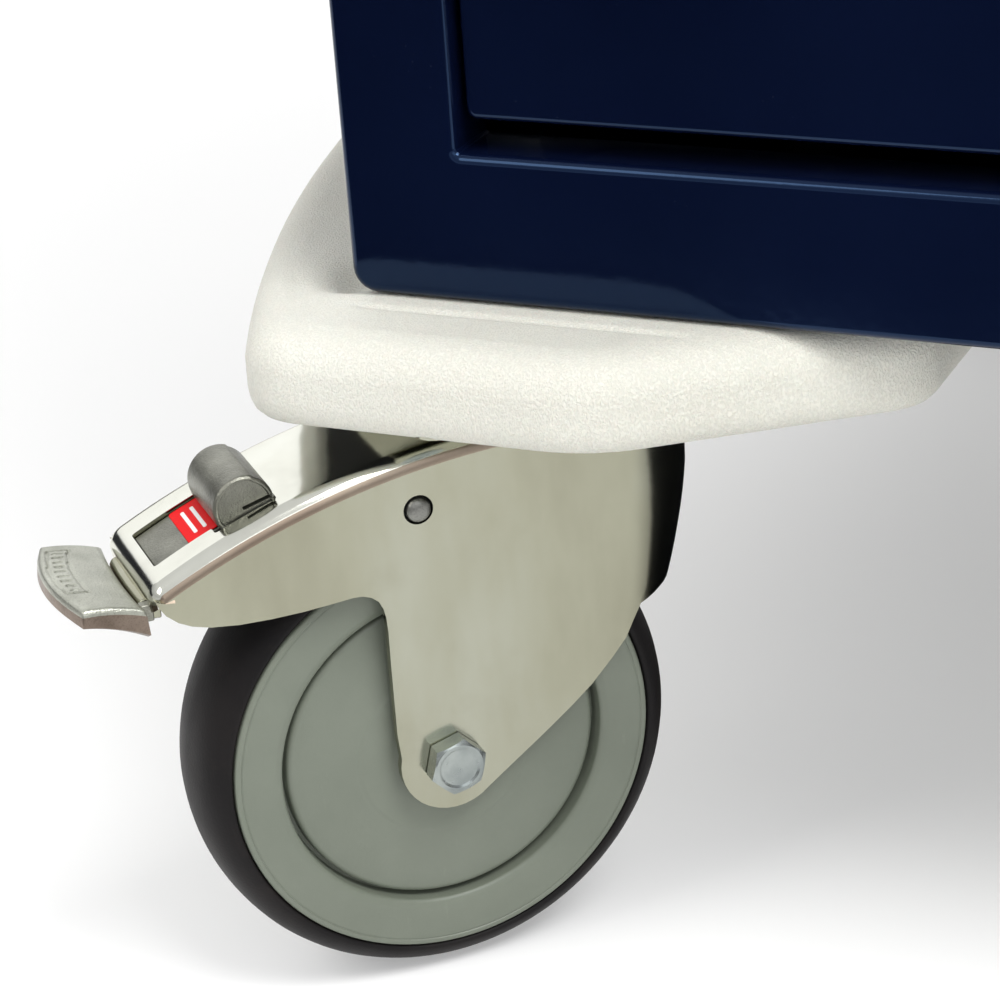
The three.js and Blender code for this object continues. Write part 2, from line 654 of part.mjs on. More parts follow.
// The outer tube of the IV pole, with the boss that takes the clamp knob.
function poleTube() {
  const { x, y, low, top } = POLE;
  const body = join(rodZ(TUBE_RADIUS, x, y, low, top, 20), rodY(9, x, top - 22, y - 26, y, 20));
  return cut(
    body,
    rodZ(ROD.radius + GAP, x, y, low + 60, top + 1, 20),
    rodY(4 + GAP, x, top - 22, y - 30, y, 16),
  );
}

function poleKnob() {
  const { x, y, top } = POLE;
  const z = top - 22;
  return join(rodY(4, x, z, y - 34, y - ROD.radius - 1.5, 16), rodY(15, x, z, y - 46, y - 27, 20));
}

// The sliding rod with two hooks for fluid bags.
function poleRod() {
  const { x, y, low } = POLE;
  const hook = (side) => bentBar([
    [x, y, ROD.top - 8], [x, y + side * 78, ROD.top - 8], [x, y + side * 78, ROD.top + 22],
  ], 12, 3.5, 8);
  return join(
    rodZ(ROD.radius, x, y, low + 80, ROD.top, 20),
    hook(-1),
    hook(1),
  );
}

// A U-shaped channel on the back that the board drops into.
function boardBracket() {
  const x = BOARD.halfWidth + 6;
  const back = BACK_SIDE;
  const low = BOARD.low - 4;
  const slotFront = back + SHEET;
  const slotBack = slotFront + BOARD.thickness + 2 * BOARD.play;
  return cut(
    block([-x, back, low], [x, slotBack + SHEET, low + 260]),
    block([-x + SHEET, slotFront, low + SHEET], [x - SHEET, slotBack, low + 300]),
    block([-x + 34, back - 5, low + 36], [x - 34, slotBack + 5, low + 300]),
  );
}

function cardiacBoard() {
  const { halfWidth: x, thickness, low, top } = BOARD;
  const front = BACK_SIDE + SHEET + BOARD.play;
  const hand = roundedRectangle(-60, top - 62, 60, top - 32, 14.9);
  return cut(
    plate(roundedRectangle(-x, low, x, top, 28), front, front + thickness, 5),
    plate(hand, front - 5, front + thickness + 5, 5),
  );
}

// A cup below and a ring above hold one small oxygen cylinder.
function oxygenBracket() {
  const { x, y, outer, inner, low, cup, ringLow, ring } = OXYGEN;
  const body = join(
    block([LEFT_SIDE - 4, y - 40, low], [LEFT_SIDE, y + 40, ringLow + 60]),
    rodZ(outer, x, y, low, low + cup, 28),
    rodZ(outer, x, y, ringLow, ringLow + ring, 28),
  );
  const clear = block([LEFT_SIDE, y - 80, low - 1], [0, y + 80, ringLow + 80]);
  return cut(
    body,
    rodZ(inner, x, y, low + 4, low + 100, 28),
    rodZ(inner, x, y, ringLow - 1, ringLow + 50, 28),
    clear,
  );
}

// ---------------------------------------------------------------- assembly
const cart = new THREE.Group();

addCaster(cart, 'front_left', -SWIVEL.x, -SWIVEL.y, -135, true);
addCaster(cart, 'front_right', SWIVEL.x, -SWIVEL.y, -45, true);
addCaster(cart, 'rear_left', -SWIVEL.x, SWIVEL.y, 135, false);
addCaster(cart, 'rear_right', SWIVEL.x, SWIVEL.y, 45, false);

addPiece(cart, 'base_bumper_left', baseBumper(-1), cream);
addPiece(cart, 'base_bumper_right', baseBumper(1), cream);
addPiece(cart, 'base_frame', baseFrame(), zinc);
addPiece(cart, 'cabinet_shell', cabinetShell(), navy);
addPiece(cart, 'slide_panel_left', slidePanel(-1), zinc);
addPiece(cart, 'slide_panel_right', slidePanel(1), zinc);

drawerRows.forEach((row, i) => {
  addPiece(cart, `drawer_${i + 1}_front`, drawerFront(row), navy);
  addPiece(cart, `drawer_${i + 1}_tray`, drawerTray(row), drawerGrey);
  addPiece(cart, `drawer_${i + 1}_pull`, drawerPull(row), chrome);
});

addPiece(cart, 'lock_lever', lockLever(), blackPlastic);
addPiece(cart, 'lock_bar', lockBar(), zinc);
addPiece(cart, 'key_lock', keyLock(), chrome);
addPiece(cart, 'work_top', workTop(), cream);
addPiece(cart, 'push_handle', pushHandle(), chrome);
addPiece(cart, 'defib_post', defibPost(), chrome);
addPiece(cart, 'defib_shelf', defibShelf(), navy);
addPiece(cart, 'iv_pole_bracket', poleBracket(), zinc);
addPiece(cart, 'iv_pole_tube', poleTube(), chrome);
addPiece(cart, 'iv_pole_rod', poleRod(), chrome);
addPiece(cart, 'iv_pole_knob', poleKnob(), blackPlastic);
addPiece(cart, 'board_bracket', boardBracket(), zinc);
addPiece(cart, 'cardiac_board', cardiacBoard(), boardWhite);
addPiece(cart, 'oxygen_bracket', oxygenBracket(), zinc);

// The middle of the outer box goes over the origin.
cart.updateMatrixWorld(true);
const middle = new THREE.Box3().setFromObject(cart, true).getCenter(new THREE.Vector3());
cart.position.set(-middle.x, -middle.y, 0);

export default cart;
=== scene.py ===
"""Looks of the hospital crash cart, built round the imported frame.

Lengths inside the builders are millimetres in the cart's own frame: cabinet centred over the origin, front
towards -Y, floor at 0. place() turns them into metres.
"""
import json
from math import asin, cos, exp, pi, sin, sqrt, tan, radians as rad

import bmesh
import bpy
from mathutils import Matrix, Vector

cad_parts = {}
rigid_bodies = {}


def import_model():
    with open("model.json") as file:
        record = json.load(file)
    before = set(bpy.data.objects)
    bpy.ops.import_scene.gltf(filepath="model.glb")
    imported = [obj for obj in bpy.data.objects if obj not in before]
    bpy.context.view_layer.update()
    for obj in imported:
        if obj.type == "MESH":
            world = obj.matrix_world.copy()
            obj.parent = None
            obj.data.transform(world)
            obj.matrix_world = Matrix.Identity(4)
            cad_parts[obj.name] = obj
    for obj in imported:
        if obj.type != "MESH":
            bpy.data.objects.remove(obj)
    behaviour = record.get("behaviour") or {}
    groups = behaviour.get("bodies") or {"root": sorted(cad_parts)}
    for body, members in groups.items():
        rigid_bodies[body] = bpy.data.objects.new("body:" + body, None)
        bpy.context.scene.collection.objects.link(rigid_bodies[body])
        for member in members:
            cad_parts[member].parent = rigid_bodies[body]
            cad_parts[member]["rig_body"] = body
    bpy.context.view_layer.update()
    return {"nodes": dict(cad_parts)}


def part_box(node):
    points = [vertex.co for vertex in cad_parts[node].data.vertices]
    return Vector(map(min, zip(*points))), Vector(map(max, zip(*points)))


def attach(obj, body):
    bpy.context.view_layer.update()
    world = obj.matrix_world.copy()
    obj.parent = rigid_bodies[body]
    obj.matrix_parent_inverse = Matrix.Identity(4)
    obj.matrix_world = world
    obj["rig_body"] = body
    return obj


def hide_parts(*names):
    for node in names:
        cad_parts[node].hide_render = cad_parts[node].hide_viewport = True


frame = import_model()

cab_low, cab_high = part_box("cabinet_shell")
ORIGIN = Vector(((cab_low.x + cab_high.x) / 2, (cab_low.y + cab_high.y) / 2, 0))
TO_ROW = Matrix.Translation(ORIGIN) @ Matrix.Scale(0.001, 4)


def box_mm(node):
    low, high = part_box(node)
    return (low - ORIGIN) * 1000, (high - ORIGIN) * 1000


# ------------------------------------------------------------------ materials
class Look:
    """A material built as a short chain of nodes in object coordinates."""

    def __init__(self, name, **plain):
        self.m = bpy.data.materials.new(name)
        self.m.use_nodes = True
        self.t = self.m.node_tree
        self.b = self.t.nodes["Principled BSDF"]
        self.co = self.t.nodes.new("ShaderNodeTexCoord").outputs["Object"]
        self.height = None
        for key, value in plain.items():
            self.b.inputs[key.replace("_", " ")].default_value = value

    def node(self, kind, **values):
        n = self.t.nodes.new(kind)
        for key, value in values.items():
            if key in n.inputs:
                n.inputs[key].default_value = value
            else:
                setattr(n, key, value)
        return n

    def link(self, a, b):
        self.t.links.new(a, b)

    def feed(self, socket, value):
        """Links an output to a socket, or sets a plain value."""
        if isinstance(value, bpy.types.NodeSocket):
            self.link(value, socket)
        else:
            socket.default_value = (*value, 1) if isinstance(value, tuple) else value

    def texture(self, kind, stretch=None, **values):
        n = self.node(kind, **values)
        source = self.co
        if stretch:
            m = self.node("ShaderNodeMapping", Scale=stretch)
            self.link(self.co, m.inputs["Vector"])
            source = m.outputs[0]
        self.link(source, n.inputs["Vector"])
        return n

    def noise(self, scale, detail=3.0, rough=0.5, stretch=None, twist=0.0):
        n = self.texture("ShaderNodeTexNoise", stretch, Scale=scale, Detail=detail, Roughness=rough,
            Distortion=twist)
        return n.outputs["Fac"]

    def cells(self, scale):
        return self.texture("ShaderNodeTexVoronoi", Scale=scale).outputs["Distance"]

    def ramp(self, fac, *stops):
        n = self.node("ShaderNodeValToRGB")
        while len(n.color_ramp.elements) < len(stops):
            n.color_ramp.elements.new(0.5)
        for e, (pos, value) in zip(n.color_ramp.elements, stops):
            e.position = pos
            e.color = (value, value, value, 1) if isinstance(value, (int, float)) else (*value, 1)
        self.link(fac, n.inputs["Fac"])
        return n.outputs["Color"]

    def tone(self, fac, low, high):
        return self.ramp(fac, (0.3, low), (0.7, high))

    def mask(self, fac, start, end):
        return self.ramp(fac, (start, 0.0), (end, 1.0))

    def times(self, a, b):
        n = self.node("ShaderNodeMath", operation="MULTIPLY")
        for socket, value in zip(n.inputs, (a, b)):
            self.feed(socket, value)
        return n.outputs[0]

    def mix(self, fac, a, b, kind="MIX"):
        n = self.node("ShaderNodeMix", data_type="RGBA", blend_type=kind)
        for index, value in ((0, fac), (6, a), (7, b)):
            self.feed(n.inputs[index], value)
        return n.outputs[2]

    def colour(self, out):
        self.link(out, self.b.inputs["Base Color"])

    def rough(self, fac, low, high):
        n = self.node("ShaderNodeMapRange", **{"To Min": low, "To Max": high})
        self.link(fac, n.inputs["Value"])
        self.link(n.outputs[0], self.b.inputs["Roughness"])

    def bump(self, out, strength, distance):
        n = self.node("ShaderNodeBump", Strength=strength, Distance=distance)
        self.link(out, n.inputs["Height"])
        if self.height:
            self.link(self.height, n.inputs["Normal"])
        self.height = n.outputs["Normal"]
        self.link(self.height, self.b.inputs["Normal"])


def navy_look():
    k = Look("navy_powder_coat", IOR=1.45, Coat_Weight=0.03, Coat_Roughness=0.05, Specular_IOR_Level=0.56,
        Specular_Tint=(0.27, 0.52, 1.0, 1))
    cloud = k.noise(9, 4)
    deep = k.ramp(cloud, (0.3, (0.0012, 0.0027, 0.0125)), (0.7, (0.0021, 0.0044, 0.0185)))
    dust = k.ramp(k.cells(420), (0.0, 1.0), (0.045, 0.0))
    sparse = k.mask(k.noise(60, 1), 0.6, 0.72)
    k.colour(k.mix(k.times(dust, sparse), deep, (0.07, 0.09, 0.14)))
    k.rough(k.noise(35, 5), 0.09, 0.15)
    k.bump(k.noise(330, 2, 0.4), 0.045, 0.0006)
    k.bump(k.noise(60, 2), 0.05, 0.0012)
    return k.m


def cream_look(name="cream_moulding", low=(0.66, 0.65, 0.58), high=(0.72, 0.715, 0.65)):
    k = Look(name, IOR=1.46, Specular_IOR_Level=0.35, Subsurface_Weight=0.05, Subsurface_Scale=0.003)
    tone = k.ramp(k.noise(11, 4), (0.3, low), (0.68, high))
    grain = k.noise(2100, 2, 0.5, (1.0, 1.0, 0.6), 0.5)
    folds = k.mask(grain, 0.38, 0.6)
    shade = k.mix(0.105, tone, folds, "MULTIPLY")
    smudge = k.mask(k.noise(38, 5, 0.65), 0.6, 0.82)
    k.colour(k.mix(k.times(smudge, 0.12), shade, (0.62, 0.59, 0.52)))
    k.rough(k.noise(90, 3), 0.42, 0.56)
    k.bump(folds, 0.6, 0.0003)
    k.bump(k.cells(2300), 0.16, 0.0002)
    k.bump(k.noise(60, 2), 0.10, 0.002)
    return k.m


def zinc_look(name="zinc_plate", low=(0.265, 0.257, 0.19), mid=(0.335, 0.332, 0.253),
        high=(0.40, 0.405, 0.335), rough=(0.11, 0.25)):
    k = Look(name, Metallic=1.0, Specular_Tint=(1.0, 0.99, 0.95, 1))
    tone = k.ramp(k.noise(22, 5, 0.55, (1.0, 1.0, 0.35)), (0.3, low), (0.48, mid), (0.68, high))
    stain = k.mask(k.noise(55, 6, 0.7), 0.56, 0.76)
    k.colour(k.mix(k.times(stain, 0.22), tone, low))
    scratch = k.mask(k.noise(160, 6, 0.7, (1.0, 1.0, 7.0)), 0.5, 0.75)
    k.rough(k.mix(0.3, k.noise(24, 4), scratch), *rough)
    k.bump(scratch, 0.025, 0.0002)
    k.bump(k.noise(70, 3), 0.05, 0.0015)
    return k.m


def cast_look(name="cast_zinc", low=(0.16, 0.16, 0.135), high=(0.31, 0.31, 0.265)):
    k = Look(name, Metallic=0.9)
    tone = k.tone(k.noise(70, 5, 0.6), low, high)
    pits = k.mask(k.cells(1900), 0.1, 0.45)
    k.colour(k.mix(0.22, tone, pits, "MULTIPLY"))
    k.rough(k.noise(240, 4), 0.26, 0.42)
    k.bump(k.noise(1500, 3, 0.6), 0.42, 0.00035)
    k.bump(pits, 0.2, 0.0002)
    return k.m


def bolt_look():
    k = Look("bolt_zinc", Metallic=1.0)
    k.colour(k.tone(k.noise(130, 4), (0.21, 0.235, 0.235), (0.36, 0.39, 0.375)))
    k.rough(k.noise(320, 4), 0.14, 0.34)
    k.bump(k.noise(900, 3), 0.10, 0.0002)
    return k.m


def plastic_look(name, low, high, rough, grain=900, depth=0.0002, spec=0.4):
    k = Look(name, Specular_IOR_Level=spec)
    tone = k.tone(k.noise(22, 5, 0.6), low, high)
    scuff = k.mask(k.noise(110, 6, 0.75, (1.0, 1.0, 0.35)), 0.62, 0.78)
    lighter = tuple(min(1.0, c * 1.35 + 0.01) for c in high)
    k.colour(k.mix(k.times(scuff, 0.35), tone, lighter))
    k.rough(k.noise(60, 4), *rough)
    k.bump(k.noise(grain, 3, 0.55), 0.3, depth)
    return k.m


def rubber_look():
    k = Look("tyre_black", Specular_IOR_Level=0.13, Sheen_Weight=0.015, Sheen_Roughness=0.5,
        Sheen_Tint=(0.75, 0.62, 0.55, 1))
    tone = k.tone(k.noise(40, 5), (0.006, 0.0055, 0.006), (0.011, 0.0095, 0.0095))
    dust = k.mask(k.noise(120, 6, 0.7), 0.52, 0.8)
    k.colour(k.mix(k.times(dust, 0.2), tone, (0.035, 0.028, 0.023)))
    k.rough(k.noise(70, 4), 0.42, 0.6)
    k.bump(k.noise(1400, 3), 0.22, 0.0003)
    return k.m


def chrome_look():
    k = Look("chrome_plate", Metallic=1.0)
    k.colour(k.tone(k.noise(24, 3), (0.68, 0.69, 0.70), (0.78, 0.79, 0.80)))
    smear = k.mask(k.noise(55, 6, 0.7, (1.0, 0.4, 1.0)), 0.45, 0.75)
    k.rough(smear, 0.07, 0.2)
    k.bump(k.noise(500, 2), 0.02, 0.0002)
    return k.m


def steel_look():
    k = Look("tray_grey", Coat_Weight=0.1, Coat_Roughness=0.3)
    tone = k.tone(k.noise(12, 4), (0.40, 0.415, 0.42), (0.48, 0.49, 0.49))
    k.colour(k.mix(0.12, tone, k.ramp(k.cells(1300), (0.1, 0.4), (0.6, 1.0)), "MULTIPLY"))
    k.rough(k.noise(80, 3), 0.4, 0.55)
    k.bump(k.noise(1200, 2), 0.22, 0.0002)
    return k.m


NAVY = navy_look()
CREAM = cream_look()
TOP_CREAM = cream_look("cream_work_top", (0.785, 0.775, 0.715), (0.845, 0.84, 0.785))
ZINC = zinc_look()
# painted highlight: a much lighter copy of the zinc plate for the fork's top sheet, standing in for the light
# its upward faces catch
ZINC_TOP_LIT = zinc_look("zinc_top_painted_highlight", (0.56, 0.56, 0.50), (0.68, 0.685, 0.62), (0.76, 0.77, 0.72), (0.1, 0.2))
# painted shade: a dark brownish copy of the zinc for the lower band of each fold, standing in for the shade
# and dark reflection there
ZINC_FOLD_SHADE = zinc_look("zinc_fold_painted_shade", (0.25, 0.19, 0.145), (0.31, 0.25, 0.195), (0.38, 0.325, 0.26), (0.3, 0.45))
CAST = cast_look()
# painted light: a lighter copy of the cast zinc for the pedal, whose top faces the light
PEDAL_LIT = cast_look("pedal_zinc_painted_light", (0.33, 0.335, 0.285), (0.52, 0.53, 0.46))
# painted shade: a darker brownish copy of the cast zinc for the pedal's sides and bottom
CAST_SIDE_SHADE = cast_look("cast_zinc_side_painted_shade", (0.15, 0.115, 0.09), (0.30, 0.24, 0.195))
PIN = cast_look("pin_steel", (0.12, 0.12, 0.11), (0.26, 0.26, 0.24))
BOLT = bolt_look()
CHROME = chrome_look()
TRAY = steel_look()
TYRE = rubber_look()
WHEEL = plastic_look("wheel_grey", (0.135, 0.152, 0.119), (0.167, 0.186, 0.148), (0.34, 0.46), 700, 0.0002,
    0.42)
BLACK = plastic_look("black_plastic", (0.012, 0.012, 0.013), (0.022, 0.022, 0.024), (0.38, 0.55))
DARK = plastic_look("shadow_gap", (0.004, 0.004, 0.004), (0.008, 0.008, 0.008), (0.7, 0.9))
WHITE = plastic_look("board_white", (0.70, 0.715, 0.70), (0.78, 0.79, 0.775), (0.34, 0.5), 600, 0.0003)
RED = plastic_look("red_label", (0.60, 0.005, 0.007), (0.68, 0.008, 0.010), (0.34, 0.46), 1200, 0.0001, 0.06)
CARD = plastic_look("label_card", (0.72, 0.72, 0.70), (0.78, 0.78, 0.76), (0.5, 0.65), 1500, 0.0001)


# ------------------------------------------------------------------ mesh builders
def put(name, data):
    """A new object in the scene."""
    obj = bpy.data.objects.new(name, data)
    bpy.context.scene.collection.objects.link(obj)
    return obj


def to_mesh(name, bm):
    mesh = bpy.data.meshes.new(name)
    bm.to_mesh(mesh)
    bm.free()
    return mesh


def place(bm, at=None):
    if at:
        bm.transform(at)
    bm.transform(TO_ROW)


def body_of(node):
    return frame["nodes"][node]["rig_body"]


def piece(name, bm, look, body="cart", hides=(), bevel=0.0, steps=2, angle=50, at=None, cuts=(), thick=0.0,
        flip=True, more=(), even=True, slot=None):
    """Turns a millimetre bmesh into a placed object that rides on a CAD body."""
    bmesh.ops.remove_doubles(bm, verts=bm.verts, dist=0.004)
    if flip:
        bmesh.ops.recalc_face_normals(bm, faces=bm.faces)
    place(bm, at)
    mesh = to_mesh(name, bm)
    mesh.shade_smooth()
    mesh.set_sharp_from_angle(angle=rad(angle))
    obj = put(name, mesh)
    for m in (look, *more):  # the second and third looks go to the faces marked 1 and 2
        mesh.materials.append(m)
    if thick:
        m = obj.modifiers.new("thick", "SOLIDIFY")
        m.thickness, m.offset, m.use_even_offset = thick / 1000, -1, even
    for cutter in cuts:
        m = obj.modifiers.new("cut", "BOOLEAN")
        m.operation, m.solver, m.object = "DIFFERENCE", "EXACT", cutter
    if bevel:
        m = obj.modifiers.new("edge", "BEVEL")
        m.width, m.segments, m.limit_method, m.angle_limit = bevel / 1000, steps, "ANGLE", rad(angle)
        m.harden_normals, m.use_clamp_overlap, m.miter_outer = False, True, "MITER_ARC"
    w = obj.modifiers.new("normals", "WEIGHTED_NORMAL")
    w.keep_sharp = not bevel
    settle(obj)
    drop_tools()
    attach(obj, body)
    if hides:
        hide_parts(*hides)


def show(node, bm, look, **rest):
    """The piece that stands in for a CAD node."""
    piece(node + "_shown", bm, look, body_of(node), (node,), **rest)


def made(build, *sizes, **options):
    """The mesh of one builder on its own."""
    bm = bmesh.new()
    build(bm, *sizes, **options)
    return bm


def settle(obj):
    """Applies the modifiers, so the piece is a plain mesh."""
    graph = bpy.context.evaluated_depsgraph_get()
    bpy.context.view_layer.update()
    mesh = bpy.data.meshes.new_from_object(obj.evaluated_get(graph), depsgraph=graph)
    obj.modifiers.clear()
    obj.data = mesh


TOOLS = []


def tool(bm, at=None):
    """A cutting solid: used by the next piece and then removed."""
    bmesh.ops.recalc_face_normals(bm, faces=bm.faces)
    place(bm, at)
    obj = put("tool", to_mesh("tool", bm))
    TOOLS.append(obj)
    return obj


def drop_tools():
    for obj in TOOLS:
        bpy.data.objects.remove(obj)
    TOOLS.clear()


def rect(x0, y0, x1, y1, r, n=6):
    r = max(min(r, (x1 - x0) / 2 - 0.01, (y1 - y0) / 2 - 0.01), 0.01)
    out = []
    for cx, cy, a0 in ((x1 - r, y0 + r, -90), (x1 - r, y1 - r, 0), (x0 + r, y1 - r, 90),
            (x0 + r, y0 + r, 180)):
        out += [(cx + r * cos(rad(a0 + 90 * k / n)), cy + r * sin(rad(a0 + 90 * k / n)))
            for k in range(n + 1)]
    return out


def loft(bm, rings, start=True, end=True):
    loops = [[bm.verts.new(p) for p in ring] for ring in rings]
    for a, b in zip(loops, loops[1:]):
        for i in range(len(a)):
            bm.faces.new((a[i - 1], a[i], b[i], b[i - 1]))
    if start:
        bm.faces.new(loops[0][::-1])
    if end:
        bm.faces.new(loops[-1])
    return loops


def box(bm, low, high):
    loft(bm, [[(x, y, z) for x, y in rect(low[0], low[1], high[0], high[1], 0.0, 1)]
        for z in (low[2], high[2])])
    bmesh.ops.remove_doubles(bm, verts=bm.verts, dist=0.03)


def rounded(bm, low, high, corner, edge, axis=2, n=5):
    """A block with rounded corners in its outline and soft edges at both ends of an axis."""
    order = {2: (0, 1, 2), 1: (0, 2, 1), 0: (1, 2, 0)}[axis]
    lo, hi = [low[i] for i in order], [high[i] for i in order]
    steps = [(edge * (1 - sin(rad(90 * k / 3))), edge * (1 - cos(rad(90 * k / 3)))) for k in range(4)]
    rows = [(i, lo[2] + h) for i, h in steps] + [(i, hi[2] - h) for i, h in reversed(steps)]
    rings = []
    for inset, h in rows:
        flat = rect(lo[0] + inset, lo[1] + inset, hi[0] - inset, hi[1] - inset, max(corner - inset, 0.2), n)
        ring = []
        for u, v in flat:
            p = [0, 0, 0]
            p[order[0]], p[order[1]], p[order[2]] = u, v, h
            ring.append(tuple(p))
        rings.append(ring)
    loft(bm, rings)


def lathe(bm, profile, axis="Z", centre=(0, 0, 0), n=64, closed=False):
    """Turns (radius, height) points round an axis. Ends on the axis close by themselves."""
    turn = {"Z": lambda r, h, c, s: (r * c, r * s, h), "Y": lambda r, h, c, s: (r * c, h, r * s),
        "X": lambda r, h, c, s: (h, r * c, r * s)}[axis]
    pts = list(profile) + ([profile[0]] if closed else [])
    rings = []
    for r, h in pts:
        ring = []
        for k in range(n):
            a = 2 * pi * k / n
            p = turn(max(r, 0.0), h, cos(a), sin(a))
            ring.append((p[0] + centre[0], p[1] + centre[1], p[2] + centre[2]))
        rings.append(ring)
    loft(bm, rings, start=not closed and profile[0][0] > 0, end=not closed and profile[-1][0] > 0)


def mirrored(half):
    """A profile and its mirror image, for a closed turning."""
    return half + [(r, -h) for r, h in reversed(half)]


def smooth_path(points, bend, steps=8):
    """Straight stretches joined by circular-looking bends."""
    pts = [Vector(p) for p in points]
    out = [pts[0]]
    for a, b, c in zip(pts, pts[1:], pts[2:]):
        s, e = b + (a - b).normalized() * bend, b + (c - b).normalized() * bend
        for k in range(steps + 1):
            t = k / steps
            u, v, w = (1 - t) ** 2, 1.56 * t * (1 - t), t * t  # the corner's weight makes the bend round
            out.append((s * u + b * v + e * w) / (u + v + w))
    return out + [pts[-1]]


def tube(bm, path, radius, n=24):
    """A round bar along points; radius may be one number or one per point."""
    rings, normal = [], None
    for i, p in enumerate(path):
        a, b = path[max(i - 1, 0)], path[min(i + 1, len(path) - 1)]
        d = (b - a).normalized()
        if normal is None:
            normal = d.orthogonal().normalized()
        normal = (normal - d * normal.dot(d)).normalized()
        side = d.cross(normal)
        r = radius[i] if isinstance(radius, list) else radius
        rings.append([tuple(p + (normal * cos(t) + side * sin(t)) * r) for t in (2 * pi * k / n
            for k in range(n))])
    loft(bm, rings)


def screw(bm, x, y, z, axis, sign, r, h):
    """A domed cross-head screw standing on a face."""
    rows = [(r, 0), (r, h * 0.3), (r * 0.92, h * 0.55), (r * 0.72, h * 0.82), (r * 0.45, h * 0.96),
        (r * 0.3, h * 0.98), (r * 0.26, h * 0.45), (0, h * 0.4)]
    base = {"X": x, "Y": y, "Z": z}[axis]
    centre = {"X": (0, y, z), "Y": (x, 0, z), "Z": (x, y, 0)}[axis]
    lathe(bm, [(a, base + sign * b) for a, b in rows], axis, centre, 24)


def refine(node, look, bevel=0.8, steps=2, angle=30, name=None, slot=None):
    """A CAD node with its flat facets joined and its edges rounded."""
    bm = bmesh.new()
    bm.from_mesh(frame["nodes"][node].data)
    bmesh.ops.remove_doubles(bm, verts=bm.verts, dist=2e-6)
    bmesh.ops.dissolve_limit(bm, angle_limit=rad(0.8), verts=bm.verts, edges=bm.edges)
    bm.transform(TO_ROW.inverted())
    rename = name or node + "_shown"
    piece(rename, bm, look, body_of(node), (node,), bevel, steps, angle, flip=False, slot=slot)


def screws(name, spots, axis, sign, r, h, body="cart", angle=50, at=None):
    """A set of screws as one piece."""
    bm = bmesh.new()
    for x, y, z in spots:
        screw(bm, x, y, z, axis, sign, r, h)
    piece(name, bm, BOLT, body, angle=angle, at=at)


# ------------------------------------------------------------------ casters
TRAIL, RADIUS = 38.0, 62.5
CROWN_U, CROWN_W, CROWN_R = -25.0, -122.0, 206.8
TOP_W = CROWN_W + CROWN_R
FOLD, SHEET, HALF = 4.5, 2.5, 21.0
PIN_U, PIN_W = 3.3, 68.4


def crown(u, drop=0.0):
    if u <= CROWN_U:
        return TOP_W - drop
    return CROWN_W + sqrt((CROWN_R - drop) ** 2 - (u - CROWN_U) ** 2)


def lerp_table(table, x):
    for (x0, y0), (x1, y1) in zip(table, table[1:]):
        if min(x0, x1) <= x <= max(x0, x1):
            return y0 + (y1 - y0) * (x - x0) / (x1 - x0)
    return table[-1][1]


def cheek_bottom(braked):
    """The cheek's lower outline, from the arm's end or the top sheet's end round the axle lug to the nose."""
    if braked:
        points = [(69.4, 59.4), (68.7, 57.6), (67.3, 55.4), (64.6, 53.0), (61.4, 51.3), (57.0, 50.0),
            (50.0, 49.0), (42.0, 48.6), (34.0, 48.6), (26.0, 49.0), (21.5, 49.3), (19.0, 49.1),
            (17.0, 48.3), (15.2, 46.8), (14.2, 44.6), (13.7, 42.0), (13.5, 38.0)]
    else:
        points = [(21.8, 78.0), (23.4, 75.0), (23.8, 71.0), (23.2, 66.0), (21.0, 59.0), (18.2, 52.0),
            (15.6, 45.0), (14.0, 39.0)]
    points += [(13.6, 30.0), (13.6, 20.0), (13.6, 10.0)]
    for k in range(15):
        a = rad(14 - 146 * k / 14)
        points.append((13.4 * cos(a), 13.4 * sin(a)))
    points += [(-15.7, -5.2), (-21.0, -1.5), (-25.8, 1.9), (-32.3, 6.7), (-38.1, 11.4), (-44.0, 17.4),
        (-48.0, 22.0)]
    return points


